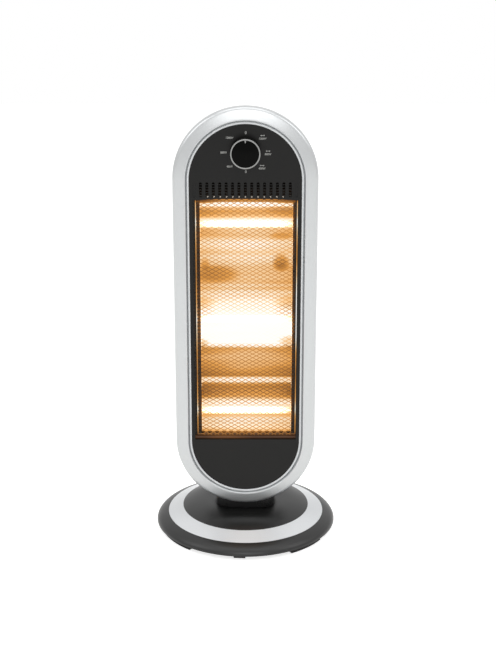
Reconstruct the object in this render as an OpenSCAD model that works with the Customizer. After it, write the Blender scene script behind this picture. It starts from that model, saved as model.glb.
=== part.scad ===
// Oscillating halogen heater: an upright pill-shaped head with three lamps behind
// a mesh guard, standing on a neck that swings on a round, domed base.
// Millimetres. Z is up, the front faces -Y, and the origin is the middle of the
// base at floor level.

/* [Base] */
// Diameter of the base at its rim
base_d = 280; // [260:1:300]
// Height of the rim's lower edge above the floor
rim_z = 6.5; // [6:0.5:8]
// Height of the flat top of the base above the floor
base_top_z = 40; // [39:0.5:46]
// Diameter of that flat top
base_top_d = 116; // [112:1:130]
// Wall of the base cover
base_wall = 2.5; // [2:0.1:3]
// Distance from the rim in to the silver ring
rim_w = 18; // [16:0.5:20]
// Width of the silver ring, seen from above
ring_w = 23.3; // [20:0.1:26]
// Height of the silver ring's outer edge
ring_low_z = 20.8; // [20:0.1:22]
// Height of the silver ring's inner edge
ring_high_z = 30.7; // [29:0.1:32]
// Thickness of the silver ring
ring_t = 1.2; // [0.8:0.1:1.6]
// Height of the rubber feet
foot_h = 4; // [3:0.5:4.5]
// Angle that each rubber foot spans, in degrees
foot_span = 28; // [20:1:34]
// Width of each rubber foot, from its inner to its outer arc
foot_w = 9; // [6:0.5:12]
// Angle between the tip-over pad and the nearest feet, in degrees
foot_angle = 49.5; // [40:0.5:55]
// Angle by which the pad and the feet are turned from the front, in degrees
foot_turn = -4; // [-8:1:8]
// Thickness of the iron ballast ring
ballast_t = 6; // [4:0.5:8]
// Distance from the rim in to the ballast ring
ballast_inset = 40; // [38:0.5:50]
// Width of the ballast ring
ballast_w = 30; // [20:1:34]

/* [Neck and swing] */
// Width of the neck
neck_w = 91; // [84:1:96]
// Depth of the neck, front to back
neck_depth = 79; // [70:1:84]
// Radius of the neck's corners
neck_r = 21; // [14:1:26]
// Diameter of the hub that turns in the base
hub_d = 60; // [54:1:64]
// Diameter of the cable way through the hub
cable_way_d = 17; // [10:1:18]
// Thickness of the slide ring under the neck
slide_t = 1; // [0.8:0.1:1.5]
// Distance from the swing axis to the crank axis
crank_offset = 32; // [30:0.5:33]
// Throw of the crank pin
crank_throw = 19.7; // [18.5:0.1:20.5]
// Diameter of the crank pin
crank_pin_d = 4; // [3:0.1:4.4]
// Thickness of the crank disc
crank_t = 3; // [2.5:0.1:3.5]
// Diameter of the swing motor
motor_d = 50; // [44:1:52]
// Height of the swing motor
motor_h = 16; // [12:0.5:17]
// Diameter of the motor's shaft
motor_shaft_d = 6; // [5:0.5:7]
// Width of the slot in the drive lever
lever_slot_w = 7.6; // [7.4:0.1:8]
// Thickness of the drive lever
lever_t = 2; // [1.5:0.1:2.5]

/* [Tip-over switch] */
// Width of the pad under the rim
pad_w = 18; // [14:0.5:22]
// Length of the pad towards the middle
pad_l = 12; // [10:0.5:13]
// Distance from the rim in to the pad's outer edge
pad_inset = 9; // [8:0.5:12]
// Travel of the pad when the heater is lifted
pad_travel = 3.4; // [2:0.1:3.4]

/* [Head] */
// Width of the head across the bezel
head_w = 212; // [204:1:220]
// Height of the head
head_h = 616; // [560:1:660]
// Gap between the floor and the bezel's lowest point
head_low_z = 54; // [52:1:60]
// Distance from the swing axis forward to the dark panel's face
face_fwd = 52; // [50:0.5:54]
// Depth of the rear cover behind the panel's face
head_depth = 100; // [92:1:108]
// Rounding of the rear cover's back edge
rear_round = 20; // [14:1:24]
// How much the rear cover draws in towards its back, on each side
rear_taper = 12; // [8:1:14]
// Wall of the moulded head parts
head_wall = 2.4; // [2:0.1:2.8]

/* [Bezel] */
// Width of the bezel, from the dark panel to its outer edge
bezel_w = 24.8; // [23.5:0.1:26]
// Width of the bead next to the panel
bead_w = 3.2; // [2.4:0.1:4]
// Width of the sloped step between the bead and the band
step_w = 2.2; // [1.6:0.1:3]
// How far the band stands proud of the panel
band_proud = 3; // [2:0.1:4]
// How far the band falls back to its outer edge, behind the panel's face
band_fall = 6.9; // [5:0.1:8]
// Bulge of the band over its straight chord
band_bulge = 2.2; // [1.4:0.1:3]
// Length of the bezel's skirt behind the band
skirt_l = 9; // [7:0.5:12]

/* [Window and guard] */
// Strip of the dark panel between the window's side and the bezel
window_side = 4.6; // [4:0.1:6]
// Height of the panel below the window, from the head's lowest point
sill_h = 111; // [105:0.5:120]
// Height of the panel above the window, to the head's highest point
crown_h = 132.5; // [128:0.5:140]
// Rise of the window's arched top edge
window_arch = 3; // [1:0.5:4]
// Width of the guard frame's bar
guard_bar = 4; // [3:0.1:4.4]
// Depth of the guard frame
guard_depth = 5; // [4:0.1:6]
// Depth of the mesh inside the guard frame
mesh_set = 1.8; // [1:0.1:2.4]
// Pitch of the mesh across
mesh_pitch_x = 27.3; // [27:0.1:32]
// Pitch of the mesh up
mesh_pitch_z = 14.7; // [14.5:0.1:18]
// Width of a mesh strand
strand_w = 1.8; // [1.2:0.1:2.4]
// Thickness of the mesh sheet
mesh_t = 1.2; // [0.8:0.1:1.6]

/* [Vent slots] */
// Number of vent slots above the window
slot_n = 15; // [11:2:15]
// Distance from slot to slot
slot_pitch = 9.25; // [8:0.05:9.6]
// Width of a slot
slot_w = 4.3; // [3:0.1:5]
// Height of a slot
slot_h = 22; // [16:0.5:26]
// Bar left between the window and the slots
slot_gap = 1.6; // [1.4:0.1:4]

/* [Lamps and reflector] */
// Distance from the window's sill up to the bottom lamp
lamp_low_edge = 35; // [32:0.5:42]
// Distance from the top lamp up to the window's top edge
lamp_high_edge = 43.5; // [34:0.5:48]
// Distance of the lamps behind the panel's face
lamp_back = 24; // [22:0.5:27]
// Diameter of the quartz tube
tube_d = 10; // [8:0.5:11]
// Wall of the quartz tube
tube_wall = 1; // [0.8:0.1:1.4]
// Distance from the end of a lamp out to the side of the head
lamp_inset = 13.5; // [12.5:0.5:16]
// Diameter of a ceramic end cap
cap_d = 13; // [12:0.5:14]
// Length of a ceramic end cap
cap_l = 19.5; // [18:0.5:20]
// Diameter of the filament coil
filament_d = 2; // [1.4:0.1:3]
// From the window's side in to the reflector's mouth
mouth_side = 11.3; // [10.5:0.1:13]
// Width of the reflector's front flange
reflector_lip = 4.2; // [3:0.1:4.6]
// Depth of the reflector's troughs behind the panel's face
reflector_back = 46; // [44:0.5:47]
// Depth of the ridges between the troughs
reflector_ridge = 31; // [30:0.5:36]
// Height of a trough's flat
trough_w = 22; // [16:1:28]
// Thickness of the reflector sheet
sheet_t = 1; // [0.6:0.1:1.2]
// Thickness of the steel chassis
chassis_t = 1; // [0.8:0.1:1.2]
// Depth of the chassis behind the panel's face
chassis_back = 52; // [50:0.5:56]
// Width of the chassis's lip round the reflector
chassis_lip = 4.5; // [4:0.1:5.5]

/* [Knob and switch] */
// Distance from the head's highest point down to the knob's centre
knob_drop = 64; // [60:1:68]
// Diameter of the knob
knob_d = 44; // [40:0.5:48]
// Height of the knob's front above the panel
knob_h = 19.4; // [16:0.2:22]
// Gap between the panel and the knob
knob_gap = 1.2; // [0.8:0.1:2]
// Width of the bright ring round the knob's front
knob_ring_w = 2.6; // [2:0.1:3.4]
// Length of the knob's pointer
pointer_l = 5; // [3:0.1:7]
// Width of the knob's pointer
pointer_w = 2.6; // [2:0.1:3.4]
// Diameter of the switch shaft
shaft_d = 6; // [5:0.5:7]
// Side of the switch's square body
switch_side = 32; // [28:1:36]
// Depth of the switch's body
switch_depth = 26; // [22:1:28]

/* [Rear of the head] */
// Width of the hand recess
grip_w = 92; // [84:1:96]
// Height of the hand recess's mouth
grip_h = 27; // [24:1:30]
// Depth of the hand recess
grip_depth = 24; // [20:1:26]
// Distance from the head's highest point down to the hand recess's centre
grip_drop = 70; // [66:1:76]
// How far the recess reaches up behind its mouth
grip_hook = 10; // [6:1:12]
// Width of a rear vent
rear_vent_w = 54; // [44:1:60]
// Bar left between the two columns of rear vents
rear_vent_bar = 8; // [5:1:12]
// Height of a rear vent
rear_vent_h = 4; // [3:0.5:5]
// Distance from vent to vent
rear_vent_pitch = 10; // [9:0.5:11]
// Number of vents in each column of the two fields
rear_vent_n = 12; // [8:1:12]
// Distance between the middles of the two fields of rear vents
rear_vent_fields = 210; // [180:5:220]

/* [Hidden] */
$fn = 96;
eps = 0.01;
cut = 1;         // how far a cut runs past a face
fit = 0.1;       // clearance round a screw or a seated piece, and under a trim ring
slack = 0.2;     // clearance between mouldings that lap
run = 0.08;      // radial clearance of a turning shaft
swing_gap = 0.3; // clearance between the base and what swings in it

// shank radii and lengths of the screws
small_screw_r = 1.2;
panel_screw_l = 5;
chassis_screw_r = 1.4;
chassis_screw_l = 7;
motor_screw_r = 1.5;
motor_screw_l = 8;
case_screw_r = 1.6;
case_screw_l = 12;
base_screw_l = 11;
neck_screw_r = 1.8;
neck_screw_l = 14;
screw_head = 1.9;   // a head's radius, in shank radii
screw_head_h = 1.1; // a head's height, in shank radii
boss_wall = 2.4;    // plastic round a screw

head_r = head_w/2;
arc_half = (head_h - head_w)/2;
head_mid_z = head_low_z + head_h/2;
head_top_z = head_low_z + head_h;
panel_r = head_r - bezel_w;

panel_t = 3;       // panel in front of its flange
flange_t = 2;      // the panel's flange behind the bezel
panel_back = panel_t + flange_t;
pocket = 3;        // how far the bead covers the panel's edge
pocket_r = panel_r + pocket;
pocket_wall = 2.2;
bead_h = 0.9;      // height of the bead's sides
bead_round = 1;    // rise of its crown over them
post_r = case_screw_r + boss_wall;
post_inset = 11;   // from the head's side in to the posts
post_at = head_r - post_inset;
low_post = 8;      // from the window's low end up to the lowest posts
flange_r = post_at - post_r - 0.5;
panel_screw_at = flange_r - 2.6;
panel_screw_drop = 34; // from a lamp down to the nearest panel screws
panel_screw_turn = 40; // angle of the end screws from the head's middle line
panel_boss_r = 2.5;
chassis_screw_at = flange_r - 4;
chassis_boss_r = 3.5;
case_split = 20;   // where the bezel's posts meet the rear cover's tubes
tube_post_r = 4.5;
rear_r = head_r - head_wall - slack;
rear_lap = 9;      // where the rear cover starts inside the bezel's skirt

window_low_z = head_low_z + sill_h;
window_high_z = head_top_z - crown_h;
window_h = window_high_z - window_low_z;
window_half = panel_r - window_side;
window_mid = window_low_z + window_h/2;
guard_in = window_half + slack;
guard_out = guard_in + guard_bar;
guard_in_h = window_h + 2*slack;
mesh_front = panel_back + mesh_set;
guard_back = panel_back + guard_depth;

lamp_low_z = window_low_z + lamp_low_edge;
lamp_high_z = window_high_z - lamp_high_edge;
lamp_zs = [lamp_low_z, (lamp_low_z + lamp_high_z)/2, lamp_high_z];
lamp_gaps = [(lamp_zs[0] + lamp_zs[1])/2, (lamp_zs[1] + lamp_zs[2])/2];
post_zs = concat([window_low_z + low_post], lamp_gaps);
lamp_names = ["bottom", "middle", "top"];
mouth_half = window_half - mouth_side;
mouth_gap = 8;     // from the window's ends to the reflector's mouth
mouth_low_z = window_low_z + mouth_gap;
mouth_high_z = window_high_z - mouth_gap;
lip_front = guard_back + chassis_t + 0.5;
chassis_half = window_half + 1.4;
chassis_low_z = window_low_z - chassis_t;
chassis_high_z = window_high_z + 2.5;
chassis_sill = 2;  // the chassis's lip along its bottom
pad_half_x = 40;   // where the reflector rests on the chassis
pad_spot_r = 6;
tab_h = 12;
tab_low = 11;      // from the window's ends in to the chassis's end tabs
tab_high = 9.5;
tab_zs = [window_low_z + tab_low, lamp_gaps[0], lamp_gaps[1], window_high_z - tab_high];
knob_z = head_top_z - knob_drop;
grip_z = head_top_z - grip_drop;
rear_vent_mid_z = window_mid - 9;

rim_r = base_d/2;
ring_r = rim_r - rim_w;
ring_in_r = ring_r - ring_w;
top_r = base_top_d/2;
hub_r = hub_d/2;
hub_hole_r = hub_r + swing_gap;
collar_r = hub_hole_r + 5.5;
lever_top_z = base_top_z - 9;
collar_z = lever_top_z + slack;
neck_z = base_top_z + slide_t + fit;
slide_inset = 1.5; // from the neck's front in to the slide ring
slide_r = neck_depth/2 - slide_inset;
saddle_h = 26;     // how far the neck reaches up round the head's end
shoulder_r = 3;    // small shoulders at the neck's sides
shoulder_z = 6;
plate_z = foot_h;
plate_t = rim_z - foot_h;
plate_inset = 6;   // from the rim in to the plate
plate_r = rim_r - plate_inset;
foot_out = 0.6;    // how far the feet reach past the plate
ballast_r = rim_r - ballast_inset;
boss_inset = 10;   // from the silver ring in to the bosses
boss_at = ring_r - boss_inset;
boss_r = case_screw_r + 2.9;
boss_skin = 1;     // cover left between a boss and the silver ring's seat
boss_angles = [0, 60, 120, 180, 215, 325];
crank_gap = 1;     // between the crank disc, the lever and the motor
crank_z = lever_top_z - lever_t - crank_gap - crank_t;
crank_disc_r = crank_throw + crank_pin_d/2 + 1.3;
crank_shaft_l = 7;
motor_top_z = crank_z - crank_gap;
motor_ear_t = 1.5;
motor_ear_r = 4;
motor_ear_at = motor_d/2 + motor_ear_r + 1;
lever_rim = 5;     // sheet left round the lever's slot
lever_holes = [[-20, -6], [20, -6], [0, -21]];
gland_r = 5.5;
gland_bore_r = 3.4;
gland_l = 27;
gland_end = rim_r - 1;
gland_collar = 1.2;
gland_collar_t = 2.5;
gland_z = rim_z + gland_r;
pad_turn = -90 + foot_turn;
pad_h = foot_h - 0.5;
pad_reach = rim_r - pad_inset;
stem_w = 12;
stem_l = 8;
stem_gap = 0.4;
stem_in = pad_reach - pad_l - 1;
arm_z = rim_z + pad_travel + fit;
arm_t = 2;
arm_w = 6;
arm_l = 12;
arm_in = stem_in - arm_l;
tip_post_w = 5;
tip_post_l = 8;
tip_post_at = stem_w/2 + 3;
tip_post_in = arm_in - 1;
tip_switch_z = arm_z + arm_t + slack;
tip_switch_h = 8;

// ---------- outlines and frames ----------

// The centre and radius of the arc from a to b that bulges s to the left of the way from a to b.
function arc_mid(a, b, s) =
    let (c = norm(b - a), r = (c*c/4 + s*s)/(2*s), n = [a.y - b.y, b.x - a.x]/c)
    (a + b)/2 + n*(s - r);
function arc_rad(a, b, s) = let (c = norm(b - a)) (c*c/4 + s*s)/(2*s);
// Points of that arc, or of one that lies inset inside it.
function arc_pts(a, b, s, n = 12, inset = 0) =
    let (m = arc_mid(a, b, s), r = arc_rad(a, b, s) - inset,
         t0 = atan2(a.y - m.y, a.x - m.x), t1 = atan2(b.y - m.y, b.x - m.x))
    [for (i = [0:n]) m + r*[cos(t0 + (t1 - t0)*i/n), sin(t0 + (t1 - t0)*i/n)]];
// Points of the quadratic curve from a to c that is pulled towards b.
function bend_pts(a, b, c, n = 8) =
    [for (i = [0:n]) let (t = i/n) (1 - t)*(1 - t)*a + 2*t*(1 - t)*b + t*t*c];
function flip(v) = [for (i = [len(v) - 1:-1:0]) v[i]];

// The head's own frame: x across, y up from the head's middle, z forward from the panel's face.
module in_head() translate([0, -face_fwd, head_mid_z]) rotate([90, 0, 0]) children();
// Back from the head's frame to the floor's.
module out_of_head() translate([0, -head_mid_z, -face_fwd]) rotate([-90, 0, 0]) children();
// A height above the floor, as a height in the head's frame.
function up(z) = z - head_mid_z;

// Sweeps a profile round the head. Its x is the distance from the pill's spine, its y is forward.
module ring_sweep() {
    for (s = [0, 180]) rotate([0, 0, s]) {
        translate([0, arc_half, 0]) rotate_extrude(angle = 180) children();
        rotate([90, 0, 0]) linear_extrude(2*arc_half, center = true) children();
    }
}
// A flat pill of radius r between two forward distances.
module pill(r, back, front) translate([0, 0, back]) linear_extrude(front - back) {
    square([2*r, 2*arc_half], center = true);
    for (s = [-1, 1]) translate([0, s*arc_half]) circle(r);
}
// A rounded rectangle, centred.
module rounded(w, h, r) {
    square([w - 2*r, h], center = true);
    square([w, h - 2*r], center = true);
    for (x = [-1, 1], y = [-1, 1]) translate([x*(w/2 - r), y*(h/2 - r)]) circle(r);
}
// A slot with round ends along x, centred.
module round_slot(l, w) {
    square([l - w, w], center = true);
    for (x = [-1, 1]) translate([x*(l - w)/2, 0]) circle(w/2, $fn = 32);
}
// A plate in the head's frame between two distances behind the face.
module slab(near, far) translate([0, 0, -far]) linear_extrude(far - near) children();
// A screw along z: its shank goes forward from its seat, and its head lies behind it.
module screw(r, l) {
    cylinder(r = r, h = l);
    translate([0, 0, -screw_head_h*r]) cylinder(r = screw_head*r, h = screw_head_h*r);
}
// The hole that such a screw goes through.
module screw_hole(r, l) translate([0, 0, -l]) cylinder(r = r + fit, h = 2*l);

// The six places where the rear cover is screwed to the bezel.
module at_posts() {
    for (s = [0, 180], z = post_zs) translate([0, up(z), 0]) rotate([0, 0, s]) translate([post_at, 0, 0]) children();
    translate([0, arc_half, 0]) rotate([0, 0, 90]) translate([post_at, 0, 0]) children();
}
// The places where the panel is screwed to the bezel.
module at_panel_screws() {
    for (x = [-1, 1], z = lamp_zs) translate([x*panel_screw_at, up(z) - panel_screw_drop, 0]) children();
    for (y = [-1, 1], a = [-panel_screw_turn, panel_screw_turn])
        translate([panel_screw_at*sin(a), y*(arc_half + panel_screw_at*cos(a)), 0]) children();
}
module at_chassis_screws() for (x = [-1, 1], z = tab_zs)
    translate([x*chassis_screw_at, up(z), 0]) children();
module at_switch_screws() for (x = [-1, 1])
    translate([x*switch_side*0.31, up(knob_z) - switch_side*0.34, 0]) children();

// ---------- base ----------

cover_top = concat(
    [[rim_r, rim_z]],
    bend_pts([rim_r, rim_z + 2], [rim_r - 2.5, rim_z + 8], [ring_r, ring_low_z]),
    [[ring_r, ring_low_z - ring_t], [ring_in_r, ring_high_z - ring_t]],
    bend_pts([ring_in_r, ring_high_z], [(ring_in_r + top_r)/2, base_top_z], [top_r, base_top_z]),
    [[hub_hole_r, base_top_z]]);
cover_under = concat(
    [[hub_hole_r, collar_z], [collar_r, collar_z], [collar_r, base_top_z - base_wall]],
    flip(bend_pts([ring_in_r, ring_high_z - ring_t - base_wall],
        [(ring_in_r + top_r)/2, base_top_z - base_wall], [top_r, base_top_z - base_wall])),
    [[ring_r - 1, ring_low_z - ring_t - base_wall + 0.4],
     [rim_r - base_wall - 2, rim_z + 5], [rim_r - base_wall, rim_z]]);
module at_bosses() for (a = boss_angles) rotate([0, 0, a]) translate([boss_at, 0, 0]) children();
module gland_way(r, l, back = 0) translate([0, gland_end - back + eps, gland_z]) rotate([90, 0, 0])
    cylinder(r = r, h = l);

module base_cover() color([0.2, 0.2, 0.195]) difference() {
    union() {
        rotate_extrude() polygon(concat(cover_top, cover_under));
        intersection() {
            at_bosses() translate([0, 0, rim_z]) cylinder(r = boss_r, h = base_top_z - rim_z);
            rotate_extrude() polygon([[ring_in_r, rim_z], [ring_r, rim_z],
                [ring_r, ring_low_z - ring_t - boss_skin], [ring_in_r, ring_high_z - ring_t - boss_skin]]);
        }
    }
    at_bosses() translate([0, 0, plate_z]) screw_hole(case_screw_r, base_screw_l + cut);
    gland_way(gland_r + fit, gland_l + 3*cut, -2*cut);
}
module base_ring() color([0.78, 0.79, 0.8]) rotate_extrude() polygon([
    [ring_r - fit, ring_low_z], [ring_r - fit, ring_low_z - ring_t + fit],
    [ring_in_r + fit, ring_high_z - ring_t + fit], [ring_in_r + fit, ring_high_z]]);

module at_pad() rotate([0, 0, pad_turn]) children();
module base_plate() color([0.12, 0.12, 0.12]) difference() {
    union() {
        translate([0, 0, plate_z]) cylinder(r = plate_r, h = plate_t);
        // posts of the swing motor
        for (x = [-1, 1]) translate([x*motor_ear_at, crank_offset, rim_z - eps])
            cylinder(r = motor_ear_r, h = motor_top_z - motor_ear_t - rim_z + eps);
        // two posts that carry the tip-over switch
        at_pad() for (y = [-1, 1])
            translate([tip_post_in, y*tip_post_at - tip_post_w/2, rim_z - eps])
            cube([tip_post_l, tip_post_w, tip_switch_z - rim_z + eps]);
    }
    at_bosses() translate([0, 0, plate_z]) screw_hole(case_screw_r, plate_t + cut);
    for (x = [-1, 1]) translate([x*motor_ear_at, crank_offset, motor_top_z])
        screw_hole(motor_screw_r, motor_screw_l + cut);
    at_pad() translate([stem_in - stem_gap, -stem_w/2 - stem_gap, plate_z - cut])
        cube([stem_l + 2*stem_gap, stem_w + 2*stem_gap, plate_t + 2*cut]);
}
module base_screws() color("silver") at_bosses() translate([0, 0, plate_z])
    screw(case_screw_r, base_screw_l);

module foot(a) color([0.07, 0.07, 0.07]) rotate([0, 0, a - foot_span/2])
    rotate_extrude(angle = foot_span) translate([plate_r + foot_out - foot_w, 0]) square([foot_w, foot_h]);
module ballast_ring() color([0.4, 0.4, 0.42]) translate([0, 0, rim_z]) difference() {
    cylinder(r = ballast_r, h = ballast_t);
    translate([0, 0, -cut]) cylinder(r = ballast_r - ballast_w, h = ballast_t + 2*cut);
}
module cord_gland() color([0.08, 0.08, 0.08]) difference() {
    union() {
        gland_way(gland_r, gland_l);
        gland_way(gland_r + gland_collar, gland_collar_t, gland_l - gland_collar_t);
    }
    gland_way(gland_bore_r, gland_l + 2*cut, -cut);
    // the collar's flat underside rests on the plate
    translate([-gland_r*2, 0, 0]) cube([gland_r*4, rim_r, rim_z]);
}

// ---------- neck, swing and tip-over switch ----------

module slide_ring() color([0.85, 0.84, 0.8]) translate([0, 0, base_top_z]) difference() {
    cylinder(r = slide_r, h = slide_t);
    translate([0, 0, -cut]) cylinder(r = hub_hole_r + 1, h = slide_t + 2*cut);
}
module at_lever_screws() for (p = lever_holes)
    translate([p.x, p.y, lever_top_z - lever_t]) children();
neck_screw_x = 28;
neck_screw_y = 18;
// Height of the rear cover's inside where a screw head rests at this y.
function neck_screw_z(y) = head_low_z + head_r - sqrt(pow(rear_r - head_wall
    - rear_taper*(y + screw_head*neck_screw_r + face_fwd - case_split)/(head_depth - rear_round - case_split), 2)
    - pow(neck_screw_x + screw_head*neck_screw_r, 2));
module at_neck_screws() for (x = [-1, 1], y = [-neck_screw_y, neck_screw_y])
    translate([x*neck_screw_x, y, neck_screw_z(y) + fit/2]) rotate([180, 0, 0]) children();

module neck() color([0.1, 0.1, 0.1]) difference() {
    union() {
        translate([0, 0, neck_z]) linear_extrude(head_low_z + saddle_h - neck_z)
            rounded(neck_w, neck_depth, neck_r);
        translate([0, 0, lever_top_z]) cylinder(r = hub_r, h = neck_z - lever_top_z + eps);
        for (x = [-1, 1]) translate([x*(neck_w/2 - 1), 0, neck_z + shoulder_z]) rotate([0, x*90, 0])
            cylinder(r = shoulder_r, h = shoulder_r);
    }
    in_head() {
        pill(head_r + slack, -band_fall - skirt_l - slack, 10);
        rear_form(rear_r + 2*slack, head_depth + 2*slack, rear_round + 2*slack);
    }
    translate([0, 0, lever_top_z - cut]) cylinder(d = cable_way_d, h = head_low_z);
    at_lever_screws() screw_hole(motor_screw_r, motor_screw_l + cut);
    at_neck_screws() screw_hole(neck_screw_r, neck_screw_l + cut);
}
module neck_screws() color("silver") at_neck_screws() screw(neck_screw_r, neck_screw_l);

slot_far = crank_offset + crank_throw + crank_pin_d/2 + 0.8;
slot_near = crank_offset - crank_throw - crank_pin_d/2;
module drive_lever() color([0.62, 0.63, 0.65]) difference() {
    translate([0, 0, lever_top_z - lever_t]) {
        cylinder(r = collar_r - 0.5, h = lever_t);
        translate([-lever_slot_w/2 - lever_rim, 0, 0])
            cube([lever_slot_w + 2*lever_rim, slot_far + lever_rim, lever_t]);
    }
    translate([-lever_slot_w/2, slot_near, lever_top_z - lever_t - cut])
        cube([lever_slot_w, slot_far - slot_near, lever_t + 2*cut]);
    translate([0, 0, lever_top_z - lever_t - cut]) cylinder(d = cable_way_d, h = lever_t + 2*cut);
    at_lever_screws() screw_hole(motor_screw_r, lever_t + cut);
}
module lever_screws() color("silver") at_lever_screws() screw(motor_screw_r, motor_screw_l);

module swing_crank() color([0.9, 0.88, 0.82]) translate([0, crank_offset, crank_z]) {
    cylinder(r = crank_disc_r, h = crank_t);
    translate([0, crank_throw, 0]) cylinder(d = crank_pin_d, h = lever_top_z - slack - crank_z);
    translate([0, 0, -crank_shaft_l]) cylinder(d = motor_shaft_d, h = crank_shaft_l + eps);
}
module swing_motor() color([0.75, 0.76, 0.78]) translate([0, crank_offset, 0]) difference() {
    union() {
        translate([0, 0, motor_top_z - motor_h]) cylinder(d = motor_d, h = motor_h);
        translate([-motor_ear_at - motor_ear_r, -1.5*motor_ear_r, motor_top_z - motor_ear_t])
            cube([2*(motor_ear_at + motor_ear_r), 3*motor_ear_r, motor_ear_t]);
        translate([0, 0, motor_top_z - eps]) cylinder(d = 2*motor_shaft_d, h = crank_gap*0.6);
    }
    translate([0, 0, crank_z - crank_shaft_l - fit]) cylinder(d = motor_shaft_d + 2*run, h = crank_shaft_l + cut);
    for (x = [-1, 1]) translate([x*motor_ear_at, 0, motor_top_z]) screw_hole(motor_screw_r, 2*motor_ear_t);
}
module motor_screws() color("silver") for (x = [-1, 1])
    translate([x*motor_ear_at, crank_offset, motor_top_z]) rotate([180, 0, 0])
    screw(motor_screw_r, motor_screw_l);

module tip_pad() color([0.09, 0.09, 0.09]) at_pad() {
    translate([pad_reach - pad_l, -pad_w/2, 0]) cube([pad_l, pad_w, pad_h]);
    translate([stem_in, -stem_w/2, 0]) cube([stem_l, stem_w, pad_h]);
    translate([stem_in, -stem_w/2, pad_h - eps]) cube([stem_l, stem_w, arm_z + arm_t - pad_h + eps]);
    translate([arm_in, -arm_w/2, arm_z]) cube([stem_in - arm_in + eps, arm_w, arm_t]);
}
module tip_switch() color([0.15, 0.16, 0.18]) at_pad() difference() {
    translate([tip_post_in, -tip_post_at - tip_post_w/2, tip_switch_z])
        cube([tip_post_l, 2*tip_post_at + tip_post_w, tip_switch_h]);
    for (y = [-1, 1]) translate([tip_post_in + tip_post_l/2, y*tip_post_at, tip_switch_z - cut])
        cylinder(r = small_screw_r, h = tip_switch_h + 2*cut);
}

// ---------- bezel, panel and rear cover ----------

band_a = [panel_r + bead_w + step_w, band_proud];
band_b = [head_r, -band_fall];
// Height of the band's chord at a distance from the pill's spine.
function band_z(r) = band_a.y + (band_b.y - band_a.y)*(r - band_a.x)/(band_b.x - band_a.x);
bezel_profile = concat(
    [[panel_r, 0]],
    arc_pts([panel_r, bead_h], [panel_r + bead_w, bead_h], bead_round, 6),
    arc_pts(band_a, band_b, band_bulge, 16),
    [[head_r, -band_fall - skirt_l], [head_r - head_wall, -band_fall - skirt_l]],
    flip(arc_pts(band_a, band_b, band_bulge, 16, head_wall)),
    [[pocket_r + pocket_wall, -panel_t], [pocket_r, -panel_t], [pocket_r, 0]]);
module bezel() color([0.8, 0.81, 0.82]) in_head() difference() {
    union() {
        ring_sweep() polygon(bezel_profile);
        at_posts() translate([0, 0, -case_split])
            cylinder(r = post_r, h = case_split + band_z(post_at + post_r) + band_bulge);
        at_panel_screws() translate([0, 0, -panel_t]) cylinder(r = panel_boss_r, h = panel_t + 1);
    }
    at_posts() translate([0, 0, -case_split]) screw_hole(case_screw_r, case_screw_l - 1);
    at_panel_screws() translate([0, 0, -panel_t]) screw_hole(small_screw_r, panel_t);
}

module window_outline() intersection() {
    translate([-window_half, up(window_low_z)]) square([2*window_half, window_h]);
    let (r = (window_half*window_half + window_arch*window_arch)/(2*window_arch))
        translate([0, up(window_high_z) - r]) circle(r, $fn = 720);
}
module at_slots() for (i = [0:slot_n - 1])
    translate([(i - (slot_n - 1)/2)*slot_pitch, up(window_high_z) + slot_gap + slot_h/2, 0]) children();
module front_panel() color([0.13, 0.13, 0.13]) in_head() difference() {
    union() {
        pill(pocket_r - slack, -panel_t - eps, 0);
        pill(flange_r, -panel_back, -panel_t);
        at_chassis_screws() translate([0, 0, -guard_back])
            cylinder(r = chassis_boss_r, h = guard_back - panel_t);
    }
    slab(-cut, panel_back + cut) window_outline();
    slab(-cut, panel_back + cut) at_slots() rotate(90) round_slot(slot_h, slot_w);
    translate([0, up(knob_z), -panel_back - cut]) cylinder(r = shaft_d/2 + 0.6, h = panel_back + 2*cut);
    at_chassis_screws() translate([0, 0, -guard_back]) screw_hole(chassis_screw_r, guard_back - 2);
    at_panel_screws() translate([0, 0, -panel_back]) screw_hole(small_screw_r, flange_t + cut);
    at_switch_screws() translate([0, 0, -panel_back]) screw_hole(small_screw_r, panel_t);
}
module panel_screws() color("silver") in_head() at_panel_screws() translate([0, 0, -panel_back])
    screw(small_screw_r, panel_screw_l);

module rear_profile(r, back, round) let (in = r - rear_taper - round) polygon(concat(
    [[0, -rear_lap], [r, -rear_lap], [r, -case_split]],
    [for (a = [-12:-13:-77]) [in + round*cos(a), -back + round + round*sin(a)]],
    [[in, -back], [0, -back]]));
module rear_form(r, back, round) {
    for (s = [0, 180]) rotate([0, 0, s]) {
        translate([0, arc_half, 0]) rotate_extrude(angle = 180) rear_profile(r, back, round);
        rotate([90, 0, 0]) linear_extrude(2*arc_half, center = true) rear_profile(r, back, round);
    }
}
module grip(w, h, deep, from) translate([0, up(grip_z), -from]) linear_extrude(deep) rounded(w, h, h/2 - 1);
module at_rear_vents() for (f = [-1, 1], c = [-1, 1], i = [0:rear_vent_n - 1])
    translate([c*(rear_vent_w + rear_vent_bar)/2,
        up(rear_vent_mid_z) + f*rear_vent_fields/2 + (i - (rear_vent_n - 1)/2)*rear_vent_pitch, 0]) children();
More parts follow.
